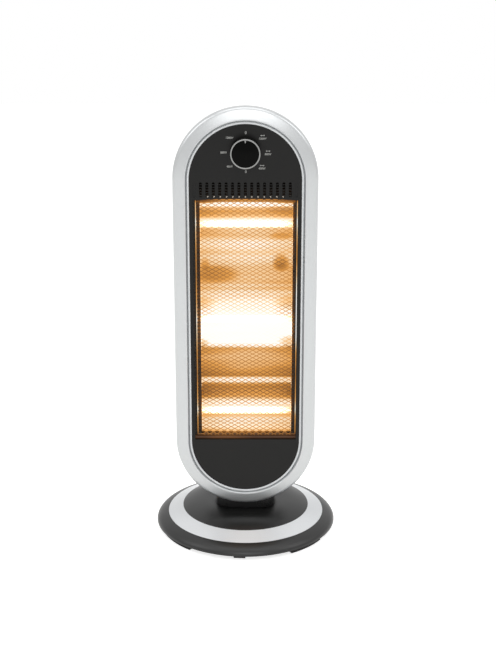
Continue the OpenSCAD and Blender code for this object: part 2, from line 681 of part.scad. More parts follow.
module rear_cover() color([0.14, 0.14, 0.14]) in_head() difference() {
    union() {
        difference() {
            rear_form(rear_r, head_depth, rear_round);
            translate([0, 0, eps])
                rear_form(rear_r - head_wall, head_depth - head_wall, rear_round - head_wall);
            slab(head_depth - head_wall - cut, head_depth + cut)
                at_rear_vents() round_slot(rear_vent_w, rear_vent_h);
        }
        // tubes that the case screws go down
        at_posts() intersection() {
            translate([0, 0, -head_depth]) cylinder(r = tube_post_r, h = head_depth - case_split - slack);
            translate([-post_at, 0, 0]) rotate([90, 0, 0]) linear_extrude(4*tube_post_r, center = true)
                rear_profile(rear_r - 1, head_depth - 1, rear_round - 1);
        }
        // walls of the hand recess
        translate([0, grip_hook/2, 0]) grip(grip_w + 2*head_wall, grip_h + grip_hook + 2*head_wall,
            grip_depth + head_wall, head_depth - 1);
    }
    at_posts() translate([0, 0, -head_depth - cut])
        cylinder(r = screw_head*case_screw_r + slack, h = head_depth + cut - case_split - boss_wall - slack);
    at_posts() translate([0, 0, -case_split]) screw_hole(case_screw_r, case_screw_l);
    grip(grip_w, grip_h, head_wall + 2*cut, head_depth + cut);
    translate([0, grip_hook/2, 0])
        grip(grip_w, grip_h + grip_hook, grip_depth - head_wall, head_depth - head_wall);
    out_of_head() {
        at_neck_screws() screw_hole(neck_screw_r, neck_screw_l);
        // the cable's way down into the neck
        translate([0, 0, head_low_z]) cylinder(d = cable_way_d, h = saddle_h);
    }
}
module case_screws() color("silver") in_head() at_posts()
    translate([0, 0, -case_split - boss_wall - slack]) screw(case_screw_r, case_screw_l);

// ---------- guard, chassis and reflector ----------

module guard_frame() color([0.12, 0.11, 0.1]) in_head() slab(panel_back, guard_back)
    translate([0, up(window_mid)]) difference() {
        rounded(2*guard_out, guard_in_h + 2*guard_bar, 0.75*guard_bar);
        square([2*guard_in, guard_in_h], center = true);
    }

// The mesh is one sheet with a diamond hole at each point of a staggered grid.
mesh_nx = floor((2*guard_in - 2*strand_w - mesh_pitch_x)/mesh_pitch_x*2) + 1;
mesh_nz = floor((guard_in_h - 2*strand_w - mesh_pitch_z)/mesh_pitch_z*2) + 1;
mesh_hx = mesh_pitch_x/2 - strand_w*0.5*sqrt(1 + pow(mesh_pitch_x/mesh_pitch_z, 2));
mesh_hz = mesh_hx*mesh_pitch_z/mesh_pitch_x;
mesh_spots = [for (i = [0:mesh_nx - 1], j = [0:mesh_nz - 1]) if ((i + j) % 2 == 0)
    [(i - (mesh_nx - 1)/2)*mesh_pitch_x/2, (j - (mesh_nz - 1)/2)*mesh_pitch_z/2]];
module mesh_outline() {
    edge = [[-guard_in, -guard_in_h/2], [guard_in, -guard_in_h/2],
        [guard_in, guard_in_h/2], [-guard_in, guard_in_h/2]];
    holes = [for (p = mesh_spots) each [p + [mesh_hx, 0], p + [0, mesh_hz], p - [mesh_hx, 0], p - [0, mesh_hz]]];
    polygon(concat(edge, holes), concat([[0, 1, 2, 3]],
        [for (k = [0:len(mesh_spots) - 1]) [for (q = [0:3]) 4 + 4*k + q]]));
}
module guard_mesh() color([0.2, 0.17, 0.13]) in_head() slab(mesh_front, mesh_front + mesh_t)
    translate([0, up(window_mid)]) mesh_outline();

module lamp_holes(r) for (z = lamp_zs)
    translate([0, up(z), -lamp_back]) rotate([0, 90, 0]) cylinder(r = r, h = head_w, center = true, $fn = 48);
module chassis() color([0.55, 0.56, 0.58]) in_head() {
    high = up(chassis_high_z);
    low = up(chassis_low_z);
    difference() {
        union() {
            difference() {
                slab(guard_back, chassis_back) translate([-chassis_half - chassis_t, low])
                    square([2*chassis_half + 2*chassis_t, high - low]);
                slab(guard_back + chassis_t, chassis_back - chassis_t)
                    translate([-chassis_half, low + chassis_t])
                    square([2*chassis_half, high - low - 2*chassis_t]);
                slab(guard_back - cut, guard_back + 2*chassis_t)
                    translate([-chassis_half + chassis_lip, low + chassis_t + chassis_sill])
                    square([2*chassis_half - 2*chassis_lip, high - low - 2*chassis_t - chassis_sill - eps]);
            }
            for (x = [-1, 1], z = tab_zs) slab(guard_back, guard_back + chassis_t)
                translate([x*(flange_r + chassis_half)/2, up(z)])
                square([flange_r - chassis_half, tab_h], center = true);
            for (x = [-1, 1], z = [lamp_zs[0], lamp_zs[2]])
                translate([x*pad_half_x, up(z), -chassis_back + eps])
                cylinder(r = pad_spot_r, h = chassis_back - reflector_back - sheet_t - eps);
        }
        lamp_holes(cap_d/2 + fit);
        at_chassis_screws() translate([0, 0, -guard_back]) screw_hole(chassis_screw_r, 2*chassis_t);
    }
}
module chassis_screws() color("silver") in_head() at_chassis_screws()
    translate([0, 0, -guard_back - chassis_t]) screw(chassis_screw_r, chassis_screw_l);

// The reflector's bent sheet, seen from the side: x is depth behind the face, y is height.
reflector_line = concat(
    [[lip_front + sheet_t/2, up(mouth_high_z)]],
    [for (i = [2:-1:0]) each concat(
        [[reflector_back, up(lamp_zs[i]) + trough_w/2], [reflector_back, up(lamp_zs[i]) - trough_w/2]],
        i > 0 ? [[reflector_ridge, up(lamp_gaps[i - 1])]] : [])],
    [[lip_front + sheet_t/2, up(mouth_low_z)]]);
module sideways(w) rotate([0, 90, 0]) linear_extrude(w, center = true) children();
module lip_plate(d) translate([-mouth_half - d, up(mouth_low_z) - d])
    square([2*(mouth_half + d), mouth_high_z - mouth_low_z + 2*d]);
module reflector() color([0.86, 0.87, 0.88]) in_head() difference() {
    union() {
        sideways(2*(mouth_half + sheet_t)) polygon(concat(reflector_line,
            flip([for (p = reflector_line) p + [sheet_t, 0]])));
        for (x = [-1, 1]) translate([x*(mouth_half + sheet_t/2), 0, 0])
            sideways(sheet_t) polygon(reflector_line);
        slab(lip_front, lip_front + sheet_t) difference() {
            lip_plate(reflector_lip);
            lip_plate(0);
        }
    }
    lamp_holes(tube_d/2 + 2);
}

// ---------- lamps ----------

module along_lamp(z) in_head() translate([0, up(z), -lamp_back]) rotate([0, 90, 0]) children();
socket_deep = 2;
lamp_l = head_w - 2*lamp_inset; // length of a lamp over its end caps
tube_l = lamp_l - 2*(cap_l - socket_deep);
seal_l = 4;       // solid quartz at each end of a tube
support_pitch = 18;
support_t = 0.6;
module lamp_tube(z) color([0.9, 0.92, 0.95]) along_lamp(z) difference() {
    cylinder(d = tube_d, h = tube_l, center = true, $fn = 48);
    cylinder(d = tube_d - 2*tube_wall, h = tube_l - 2*seal_l, center = true, $fn = 48);
}
module lamp_filament(z) color([1, 0.8, 0.4]) along_lamp(z) {
    cylinder(d = filament_d, h = tube_l - 2*seal_l, center = true, $fn = 24);
    for (k = [-3:3]) translate([0, 0, k*support_pitch])
        cylinder(d = tube_d - 2*tube_wall - slack, h = support_t, center = true, $fn = 24);
}
module lamp_caps(z) color([0.93, 0.92, 0.88]) along_lamp(z) for (s = [0, 180]) rotate([s, 0, 0])
    translate([0, 0, lamp_l/2 - cap_l]) difference() {
        cylinder(d = cap_d, h = cap_l, $fn = 48);
        translate([0, 0, -cut]) cylinder(d = tube_d + 2*fit, h = socket_deep + cut + fit, $fn = 48);
    }

// ---------- electrical parts in the head ----------

tag_t = 0.8;      // tin tags that the wires push on to
tag_w = 6;
tag_l = 7;
module tags(n, pitch) for (k = [0:n - 1])
    translate([(k - (n - 1)/2)*pitch - tag_t/2, -tag_w/2, -tag_l]) cube([tag_t, tag_w, tag_l + eps]);

cutout_x = 30;
cutout_drop = 60;
cutout_flange_r = 12;
cutout_flange_t = 3;
cutout_r = 8;
cutout_l = 10;
module thermal_cutout() color([0.8, 0.78, 0.7]) in_head()
    translate([cutout_x, up(lamp_zs[2]) - cutout_drop, -chassis_back]) {
        translate([0, 0, -cutout_flange_t]) cylinder(r = cutout_flange_r, h = cutout_flange_t);
        translate([0, 0, -cutout_l]) cylinder(r = cutout_r, h = cutout_l - cutout_flange_t + eps);
        translate([0, 0, -cutout_l]) tags(2, 10);
    }
block_l = 52;
block_w = 18;
block_t = 14;
block_rise = 49;
block_ways = 4;
way_r = 2.6;
way_l = 7;
module terminal_block() color([0.9, 0.9, 0.86]) in_head()
    translate([0, up(lamp_zs[0]) + block_rise, -chassis_back - block_t]) difference() {
        linear_extrude(block_t) square([block_l, block_w], center = true);
        for (k = [0:block_ways - 1]) translate([(k - (block_ways - 1)/2)*block_l/block_ways, 0, -cut])
            cylinder(r = way_r, h = way_l + cut, $fn = 32);
    }
switch_floor = 3;  // solid stock behind the shaft's bore
module switch_body() color([0.9, 0.9, 0.87]) in_head() translate([0, up(knob_z), 0]) difference() {
    union() {
        slab(panel_back, panel_back + switch_depth) square(switch_side, center = true);
        translate([0, 0, -panel_back - switch_depth]) tags(3, 9);
    }
    translate([0, 0, -panel_back - switch_depth + switch_floor])
        cylinder(r = shaft_d/2 + run, h = switch_depth);
    translate([0, -up(knob_z), -panel_back - switch_depth]) at_switch_screws()
        screw_hole(small_screw_r, switch_depth + cut);
}
module switch_screws() color("silver") in_head() at_switch_screws()
    translate([0, 0, -panel_back - switch_depth]) screw(small_screw_r, switch_depth + panel_t - 0.5);

// ---------- knob ----------

knob_r = knob_d/2;
ring_deep = 2.2;     // seat of the bright ring in the knob's edge
socket_l = 11;       // how far the shaft reaches into the knob
face_crown = 0.4;    // how far the knob's face domes over its edge
notch = 1.4;         // depth of the pointer's seat
knob_edge = 0.6;
module at_knob() in_head() translate([0, up(knob_z), 0]) children();
module switch_shaft() color([0.85, 0.85, 0.8]) at_knob()
    translate([0, 0, -panel_back - switch_depth + switch_floor + swing_gap])
    cylinder(d = shaft_d, h = panel_back + switch_depth - switch_floor + knob_gap + socket_l - 2*swing_gap);
module knob() color([0.03, 0.03, 0.03]) at_knob() difference() {
    rotate_extrude() polygon(concat(
        [[0, knob_gap], [knob_r - knob_edge, knob_gap], [knob_r, knob_gap + knob_edge],
         [knob_r, knob_h - ring_deep], [knob_r - knob_ring_w, knob_h - ring_deep],
         [knob_r - knob_ring_w, knob_h - face_crown]],
        [for (k = [1:6]) let (t = 1 - k/6)
            [(knob_r - knob_ring_w)*t, knob_h - face_crown + 2*face_crown*(1 - t*t)]]));
    cylinder(r = shaft_d/2 + run/2, h = knob_gap + socket_l);
    translate([-pointer_w/2, knob_r - knob_ring_w - pointer_l, knob_h - notch])
        cube([pointer_w, pointer_l + cut, 2*notch]);
}
module knob_ring() color([0.8, 0.81, 0.82]) at_knob() let (r = knob_r - knob_ring_w + run/2)
    rotate_extrude() polygon([
    [r, knob_h - ring_deep], [knob_r, knob_h - ring_deep],
    [knob_r, knob_h - 0.4], [knob_r - 0.5, knob_h + 0.2], [r + 0.4, knob_h + 0.2], [r, knob_h]]);
module knob_pointer() color([0.85, 0.86, 0.87]) at_knob()
    translate([0, knob_r - knob_ring_w - fit, knob_h - notch]) linear_extrude(notch + fit)
    polygon([[fit - pointer_w/2, 0], [-0.4, slack - pointer_l], [0.4, slack - pointer_l], [pointer_w/2 - fit, 0]]);

base_plate();
base_cover();
base_ring();
foot(pad_turn - foot_angle);  // foot_front_left
foot(pad_turn + foot_angle);  // foot_front_right
foot(pad_turn - 180 + foot_angle);  // foot_rear_left
foot(pad_turn + 180 - foot_angle);  // foot_rear_right
ballast_ring();
base_screws();
cord_gland();
slide_ring();
swing_motor();
motor_screws();
swing_crank();
tip_switch();
tip_pad();
neck();
neck_screws();
drive_lever();
lever_screws();
rear_cover();
case_screws();
bezel();
front_panel();
panel_screws();
guard_frame();
guard_mesh();
chassis();
chassis_screws();
reflector();
for (i = [0:2]) {
    lamp_tube(lamp_zs[i]);
    lamp_filament(lamp_zs[i]);
    lamp_caps(lamp_zs[i]);
}
thermal_cutout();
terminal_block();
switch_body();
switch_screws();
switch_shaft();
knob();
knob_ring();
knob_pointer();
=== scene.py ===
# An upright halogen heater: a silver-rimmed, pill-shaped head with three lamps behind a
# mesh guard, on a neck that swings on a round black base. The scene is in metres, in the part's
# frame; sizes and outlines are written in millimetres.
import math

import bmesh
import bpy
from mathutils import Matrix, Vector


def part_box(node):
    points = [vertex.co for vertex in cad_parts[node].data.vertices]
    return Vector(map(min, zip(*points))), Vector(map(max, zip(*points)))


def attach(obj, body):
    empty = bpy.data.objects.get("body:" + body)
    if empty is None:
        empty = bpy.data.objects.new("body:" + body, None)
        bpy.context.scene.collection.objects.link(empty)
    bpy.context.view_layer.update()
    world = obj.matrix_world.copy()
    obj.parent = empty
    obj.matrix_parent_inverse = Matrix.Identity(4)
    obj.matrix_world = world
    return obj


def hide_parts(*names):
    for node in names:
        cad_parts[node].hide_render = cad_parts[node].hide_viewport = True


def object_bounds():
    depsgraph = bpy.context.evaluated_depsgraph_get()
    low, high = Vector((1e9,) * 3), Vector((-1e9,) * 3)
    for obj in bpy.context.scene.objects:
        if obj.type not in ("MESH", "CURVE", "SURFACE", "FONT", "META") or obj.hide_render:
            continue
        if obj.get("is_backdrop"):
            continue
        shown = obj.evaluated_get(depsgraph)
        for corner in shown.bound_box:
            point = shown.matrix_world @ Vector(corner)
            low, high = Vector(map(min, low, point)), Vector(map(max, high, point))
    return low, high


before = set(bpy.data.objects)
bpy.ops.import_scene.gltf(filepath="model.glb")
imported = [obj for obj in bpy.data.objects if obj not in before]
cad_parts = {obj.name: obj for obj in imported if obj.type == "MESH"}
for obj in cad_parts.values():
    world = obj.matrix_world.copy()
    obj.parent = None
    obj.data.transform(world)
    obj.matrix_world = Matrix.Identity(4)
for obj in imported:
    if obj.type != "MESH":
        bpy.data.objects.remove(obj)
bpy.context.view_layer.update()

MM = 0.001
MEETS = 2e-6                          # metres; points nearer than this are one
QUARTER = math.pi / 2
ALONG_X, ALONG_Y, ALONG_Z = (1, 0, 0), (0, 1, 0), (0, 0, 1)

FACE_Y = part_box("front_panel")[0].y   # metres, the front of the dark panel
HEAD_MID = 362.0                      # middle of the head
ARC_UP = 202.0                        # from there to the middle of either end arc
LAMPS = {"bottom": 200.0, "middle": 347.0, "top": 494.0}
LAMP_PITCH = 147.0
LAMP_BACK = 24.0                      # the lamps lie this far behind the panel's front
KNOB_Z = 606.0
SHIFT = 1.5                           # hem and reflector sit to the right, as in the photo


# ---------- hand tools ----------

def at(x, back, z):
    """A point from millimetres: to the right, behind the panel's front and above the floor."""
    return Vector((x * MM, FACE_Y + back * MM, z * MM))


def clear():
    """Back to object mode with nothing selected."""
    if bpy.context.object and bpy.context.object.mode != "OBJECT":
        bpy.ops.object.mode_set(mode="OBJECT")
    bpy.ops.object.select_all(action="DESELECT")


def take(piece):
    """Only this piece is selected and active."""
    clear()
    piece.select_set(True)
    bpy.context.view_layer.objects.active = piece


def edit(piece):
    """Edit mode, with all of this piece selected."""
    take(piece)
    bpy.ops.object.mode_set(mode="EDIT")
    bpy.ops.mesh.select_all(action="SELECT")


def begin(name, primitive, **settings):
    """A new primitive at its size and place, with its place in its mesh."""
    clear()
    primitive(**settings)
    piece = bpy.context.object
    piece.name = piece.data.name = name
    bpy.ops.object.transform_apply(location=True, rotation=True, scale=True)
    return piece


def block(name, size, middle):
    """A block to cut with."""
    return begin(name, bpy.ops.mesh.primitive_cube_add, size=1.0,
                 scale=tuple(side * MM for side in size), location=middle)


def pick(piece, kind, test):
    """In edit mode, selects only the vertices or edges whose middle passes the test."""
    bpy.ops.mesh.select_all(action="DESELECT")
    bpy.ops.mesh.select_mode(type={"verts": "VERT", "edges": "EDGE"}[kind])
    mesh = bmesh.from_edit_mesh(piece.data)
    for element in getattr(mesh, kind):
        corners = getattr(element, "verts", [element])
        if test(sum((corner.co for corner in corners), Vector()) / len(corners)):
            element.select_set(True)
    mesh.select_flush_mode()
    bmesh.update_edit_mesh(piece.data)


def move(piece, way):
    """Moves a piece, with its place still in its mesh."""
    take(piece)
    bpy.ops.transform.translate(value=way)
    bpy.ops.object.transform_apply(location=True)


def modify(piece, kind, **settings):
    """Adds a modifier and applies it."""
    take(piece)
    modifier = piece.modifiers.new(kind.lower(), kind)
    for key, value in settings.items():
        setattr(modifier, key, value)
    bpy.ops.object.modifier_apply(modifier=modifier.name)
    return piece


def soften(piece, width, steps=2, angle=30):
    """Rounds the edges that are sharper than an angle."""
    return modify(piece, "BEVEL", width=width * MM, segments=steps, limit_method="ANGLE",
                  angle_limit=math.radians(angle), use_clamp_overlap=True)


def cut(piece, tool):
    """Takes the tool's shape out of a piece, and then the tool out of the scene."""
    modify(piece, "BOOLEAN", object=tool, operation="DIFFERENCE", solver="EXACT")
    bpy.data.objects.remove(tool)


def repeat(piece, count, x=0, z=0):
    """Copies of a piece in a row."""
    modify(piece, "ARRAY", count=count, use_relative_offset=False, use_constant_offset=True,
           constant_offset_displace=(x * MM, 0, z * MM))


def close_up(piece):
    """Merges what meets and turns all faces outwards."""
    edit(piece)
    bpy.ops.mesh.remove_doubles(threshold=MEETS)
    bpy.ops.mesh.normals_make_consistent(inside=False)
    bpy.ops.object.mode_set(mode="OBJECT")
    return piece


def drawn(name, points, closed=True):
    """A line through points: one corner of a small plane, extruded on from point to point."""
    piece = begin(name, bpy.ops.mesh.primitive_plane_add, size=MM, location=points[0])
    bpy.ops.object.mode_set(mode="EDIT")
    bpy.ops.mesh.select_mode(type="VERT")
    bpy.ops.mesh.select_all(action="SELECT")
    bpy.ops.mesh.merge(type="CENTER")
    for a, b in zip(points, points[1:]):
        bpy.ops.mesh.extrude_vertices_move(TRANSFORM_OT_translate={"value": b - a})
    if closed:
        ends = (points[0], points[-1])
        pick(piece, "verts", lambda p: min((p - end).length for end in ends) < 1e-6)
        bpy.ops.mesh.edge_face_add()
    bpy.ops.mesh.select_all(action="SELECT")
    return piece


def slab(name, outline, way):
    """A flat outline, filled and drawn out into a solid."""
    piece = drawn(name, outline)
    bpy.ops.mesh.edge_face_add()
    bpy.ops.mesh.extrude_region_move(TRANSFORM_OT_translate={"value": way})
    bpy.ops.object.mode_set(mode="OBJECT")
    return close_up(piece)


def spun(name, points, middle, axis, turn=360, steps=96, closed=True):
    """An outline, spun about an axis into a solid."""
    piece = drawn(name, points, closed)
    bpy.ops.mesh.spin(steps=steps, angle=math.radians(turn), center=middle, axis=axis)
    bpy.ops.object.mode_set(mode="OBJECT")
    return close_up(piece)


def copy_of(node, name, whole=True):
    """A copy of a CAD node as one clean mesh, with its flat faces made whole."""
    clear()
    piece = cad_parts[node].copy()
    piece.data = piece.data.copy()
    bpy.context.scene.collection.objects.link(piece)
    piece.name = piece.data.name = name
    piece.parent = None
    for key in list(piece.keys()):
        del piece[key]
    piece.hide_render = piece.hide_viewport = False
    edit(piece)
    bpy.ops.mesh.remove_doubles(threshold=MEETS)
    if whole:
        bpy.ops.mesh.dissolve_limited(angle_limit=math.radians(0.4))
    bpy.ops.object.mode_set(mode="OBJECT")
    return piece


def joined(pieces, name):
    """All pieces as one."""
    take(pieces[0])
    for piece in pieces:
        piece.select_set(True)
    bpy.ops.object.join()
    bpy.context.object.name = bpy.context.object.data.name = name
    return bpy.context.object


def bow(a, b, rise, steps):
    """Points on the arc from a to b that bulges to the left of the way from a to b."""
    a, b = Vector(a), Vector(b)
    way = b - a
    radius = (way.length_squared / 4 + rise * rise) / (2 * rise)
    left = Vector((-way.y, way.x)).normalized()
    middle = (a + b) / 2 + left * (rise - radius)
    start = math.atan2(a.y - middle.y, a.x - middle.x)
    sweep = math.atan2(b.y - middle.y, b.x - middle.x) - start
    sweep = (sweep + math.pi) % (2 * math.pi) - math.pi
    return [(middle.x + radius * math.cos(start + sweep * k / steps),
             middle.y + radius * math.sin(start + sweep * k / steps)) for k in range(steps + 1)]


def bend(a, b, c, steps):
    """Points on the curve from a to c that is pulled towards b."""
    points = []
    for k in range(steps + 1):
        t = k / steps
        points.append(tuple((1 - t) ** 2 * p + 2 * t * (1 - t) * q + t * t * r
                            for p, q, r in zip(a, b, c)))
    return points


def done(piece, material, body, slot, *nodes, smooth=35):
    """Smooths, paints and seats a finished piece."""
    take(piece)
    if smooth:
        bpy.ops.object.shade_smooth_by_angle(angle=math.radians(smooth))
        modify(piece, "WEIGHTED_NORMAL", keep_sharp=True)
    piece.data.materials.clear()
    piece.data.materials.append(material)
    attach(piece, body)
    if nodes:
        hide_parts(*nodes)


# ---------- materials ----------

NOISE, CELLS, MIX = "ShaderNodeTexNoise", "ShaderNodeTexVoronoi", "ShaderNodeMix"
RANGE, MATH, BUMP = "ShaderNodeMapRange", "ShaderNodeMath", "ShaderNodeBump"


def linear(colour):
    """A #rrggbb colour as linear red, green, blue and 1."""
    values = [int(colour[k:k + 2], 16) / 255 for k in (1, 3, 5)]
    return tuple(v / 12.92 if v <= 0.04045 else ((v + 0.055) / 1.055) ** 2.4
                 for v in values) + (1.0,)


def add(tree, kind, inputs, **settings):
    """One node, with its settings, and its inputs set or linked. A node that is given as an
    input is linked from its first output."""
    node = tree.nodes.new(kind)
    for key, value in settings.items():
        setattr(node, key, value)
    for socket, value in inputs.items():
        if isinstance(value, bpy.types.Node):
            value = value.outputs[0]
        if isinstance(value, bpy.types.NodeSocket):
            tree.links.new(value, node.inputs[socket])
        else:
            node.inputs[socket].default_value = value
    return node


def new_material(name):
    """An empty material, its tree and its Object coordinates."""
    material = bpy.data.materials.new(name)
    material.use_nodes = True
    tree = material.node_tree
    tree.nodes.clear()
    return material, tree, add(tree, "ShaderNodeTexCoord", {}).outputs["Object"]


def finish_material(tree, surface):
    """The shader, with what is set on it or linked to it, and the output."""
    shader = add(tree, "ShaderNodeBsdfPrincipled", surface)
    add(tree, "ShaderNodeOutputMaterial", {"Surface": shader})


def moulded(name, dark, light, grain_mm, depth_mm, roughness, spread, shine=0.5):
    """A plastic, rubber or enamel skin: cloudy colour, uneven gloss and a fine raised grain."""
    material, tree, place = new_material(name)
    cloud = add(tree, NOISE, {"Vector": place, "Scale": 1 / (28 * MM), "Detail": 3.0})
    grain = add(tree, NOISE, {"Vector": place, "Scale": 1 / (grain_mm * MM), "Detail": 2.0})
    colour = add(tree, MIX, {0: cloud, 6: linear(dark), 7: linear(light)}, data_type="RGBA")
    rough = add(tree, RANGE, {"Value": cloud, "To Min": roughness - spread,
                              "To Max": roughness + spread})
    bump = add(tree, BUMP, {"Height": grain, "Distance": depth_mm * MM, "Strength": 0.6})
    finish_material(tree, {"Base Color": colour.outputs[2], "Roughness": rough,
                           "Specular IOR Level": shine, "Normal": bump})
    return material


def metal(name, dark, light, patch_mm, grain_mm, roughness, spread):
    """A plated or bare metal skin: patches of tone, uneven gloss and a fine grain."""
    material, tree, place = new_material(name)
    patch = add(tree, CELLS, {"Vector": place, "Scale": 1 / (patch_mm * MM)})
    grain = add(tree, NOISE, {"Vector": place, "Scale": 1 / (grain_mm * MM), "Detail": 3.0})
    tone = add(tree, MATH, {0: patch, 1: grain}, operation="MULTIPLY")
    colour = add(tree, MIX, {0: tone, 6: linear(dark), 7: linear(light)}, data_type="RGBA")
    rough = add(tree, RANGE, {"Value": grain, "To Min": roughness - spread,
                              "To Max": roughness + spread})
    bump = add(tree, BUMP, {"Height": grain, "Distance": 0.02 * MM, "Strength": 0.3})
    finish_material(tree, {"Base Color": colour.outputs[2], "Roughness": rough, "Metallic": 1.0,
                           "Normal": bump})
    return material


def silver(name, dark, light, metallic, coat):
    """Silver paint on moulded ABS: fine flake under a satin clear coat. The flake is 0.05 mm and
    is drawn at 0.6, so that it shows."""
    material, tree, place = new_material(name)
    flake = add(tree, CELLS, {"Vector": place, "Scale": 1 / (0.6 * MM)})
    haze = add(tree, NOISE, {"Vector": place, "Scale": 1 / (35 * MM), "Detail": 2.0})
    colour = add(tree, MIX, {0: flake, 6: linear(dark), 7: linear(light)}, data_type="RGBA")
    rough = add(tree, RANGE, {"Value": haze, "To Min": 0.27, "To Max": 0.33})
    bump = add(tree, BUMP, {"Height": flake, "Distance": 0.01 * MM, "Strength": 0.25})
    finish_material(tree, {"Base Color": colour.outputs[2], "Metallic": metallic,
                           "Roughness": rough, "Normal": bump, "Coat Weight": coat,
                           "Coat Roughness": 0.25})
    return material


def glowing(name, patch_mm, dark, light, base, roughness, strength):
    """Something that shines by itself, with patches of tone."""
    material, tree, place = new_material(name)
    patch = add(tree, NOISE, {"Vector": place, "Scale": 1 / (patch_mm * MM)})
    colour = add(tree, MIX, {0: patch, 6: linear(dark), 7: linear(light)}, data_type="RGBA")
    finish_material(tree, {"Base Color": linear(base), "Roughness": roughness,
                           "Emission Color": colour.outputs[2], "Emission Strength": strength})
    return material


# Bezel: mostly flake, so that it mirrors the pale room softly and darkens where it turns down to
# the black base.
silver_paint = silver("silver_paint_on_abs", "#b6b8b9", "#c5c7c8", 0.8, 0.25)
# Its bead and the ring of the base: a paler coat with less flake, even in tone from all sides.
pale_silver = silver("pale_silver_paint_on_abs", "#d3d5d7", "#e0e2e4", 0.12, 0.08)

# Moulded ABS of the base, black with a satin gloss over a very fine spark texture.
base_abs = moulded("satin_black_abs", "#0d0d0d", "#131312", 0.5, 0.012, 0.36, 0.04)
# Heat-proof nylon of the front panel: near black, smoother, with little shine.
panel_nylon = moulded("glass_filled_nylon_black", "#0e0e0d", "#131211", 0.4, 0.008, 0.30, 0.04,
    0.22)
# Polypropylene of the rear cover, matt, with a coarser spark texture that hides finger marks.
rear_polypropylene = moulded("spark_textured_polypropylene", "#121212", "#191919", 0.9, 0.05, 0.58,
    0.06)
# Neck: the same ABS as the base with a little more gloss.
neck_abs = moulded("gloss_black_abs", "#0a0a0a", "#0f0f0f", 0.6, 0.010, 0.28, 0.03, 0.25)
# Bottom tray and pad, matt black polypropylene.
tray_polypropylene = moulded("matt_black_polypropylene", "#141414", "#1a1a1a", 0.7, 0.03, 0.65,
    0.05)
# Rubber of the feet: dull, dusty black.
foot_rubber = moulded("moulded_rubber", "#151515", "#222120", 0.8, 0.04, 0.85, 0.05)
# Knob: polished black ABS.
knob_abs = moulded("polished_black_abs", "#060605", "#080807", 3.0, 0.004, 0.12, 0.03, 0.05)
# Nylon of the cord gland.
gland_nylon = moulded("black_nylon", "#101010", "#171717", 0.6, 0.02, 0.5, 0.05)
# Acetal of the swing crank, waxy white.
white_acetal = moulded("natural_acetal", "#dcd8cc", "#e6e3d8", 2.0, 0.01, 0.35, 0.04)
# Thermoset and phenolic cases of the tip-over switch and the cut-out.
black_thermoset = moulded("black_thermoset", "#141416", "#1c1c1f", 0.5, 0.02, 0.45, 0.05)
brown_phenolic = moulded("brown_phenolic", "#57371d", "#6b4526", 0.5, 0.02, 0.5, 0.06)
# Terminal block and switch body: pale nylon and cream PBT.
pale_nylon = moulded("natural_nylon", "#d5d1c0", "#e1dece", 1.5, 0.02, 0.45, 0.05)
cream_pbt = moulded("cream_pbt", "#cfcabb", "#dbd7c9", 1.2, 0.02, 0.42, 0.05)
# Steatite lamp caps, unglazed and slightly speckled.
steatite = moulded("steatite_ceramic", "#cfc6b4", "#e4ddcf", 0.8, 0.03, 0.75, 0.05)
# Screen ink of the dial's marks.
white_ink = moulded("white_screen_ink", "#a3a3a0", "#aeaeab", 0.5, 0.005, 0.5, 0.03)
# Enamel, brown-black, of the plate round the window that stands there as painted shade.
black_enamel = moulded("black_heat_enamel", "#0e0b08", "#130f0b", 0.7, 0.02, 0.5, 0.06)
# Zinc-plated screws and pressed steel, the dial's satin nickel and the cast iron ballast.
zinc_plate = metal("zinc_plated_steel", "#8b8f94", "#b4b7ba", 1.5, 0.6, 0.32, 0.06)
satin_nickel = metal("satin_nickel", "#868685", "#a2a2a0", 1.2, 0.5, 0.36, 0.04)
cast_iron = metal("cast_iron", "#3a3a3c", "#505054", 3.0, 1.0, 0.62, 0.08)


def follow(tree, value, stops, low, high):
    """Colours or greys that follow a value between two ends."""
    share = add(tree, RANGE, {"Value": value, "From Min": low, "From Max": high})
    ramp = add(tree, "ShaderNodeValToRGB", {"Fac": share})
    elements = ramp.color_ramp.elements
    for k, (place, tone) in enumerate(stops):
        share_here = (place - low) / (high - low)
        element = elements[k] if k < 2 else elements.new(share_here)
        element.position = share_here
        element.color = linear(tone) if isinstance(tone, str) else (tone, tone, tone, 1.0)
    return ramp


def painted_glow_of(tree, height, stops):
    """How strongly the painted lamp light shows at each height, in two ramps, as one holds 32 stops
    at most.
    """
    half = len(stops) // 2
    first, seam, last = stops[0][0], stops[half][0], stops[-1][0]
    lower = follow(tree, height, stops[:half + 1], first, seam)
    upper = follow(tree, height, stops[half:], seam, last)
    above = add(tree, MATH, {0: height, 1: seam}, operation="GREATER_THAN")
    return add(tree, MIX, {0: above, 2: lower, 3: upper})


# What painted lamp light looks like as it gets stronger: brown, orange, amber, cream, and at
# last a white that has burnt out.
LAMP_LIGHT = [
    (0.0, "#0c0602"), (0.06, "#150c06"), (0.14, "#44250a"), (0.26, "#86521c"), (0.40, "#bf8038"),
    (0.54, "#e19e4e"), (0.64, "#edb778"), (0.74, "#f2cc9c"), (0.84, "#f6dfbd"), (0.92, "#faedd6"),
    (1.0, "#fefaf0"), (1.08, "#fffefb")]


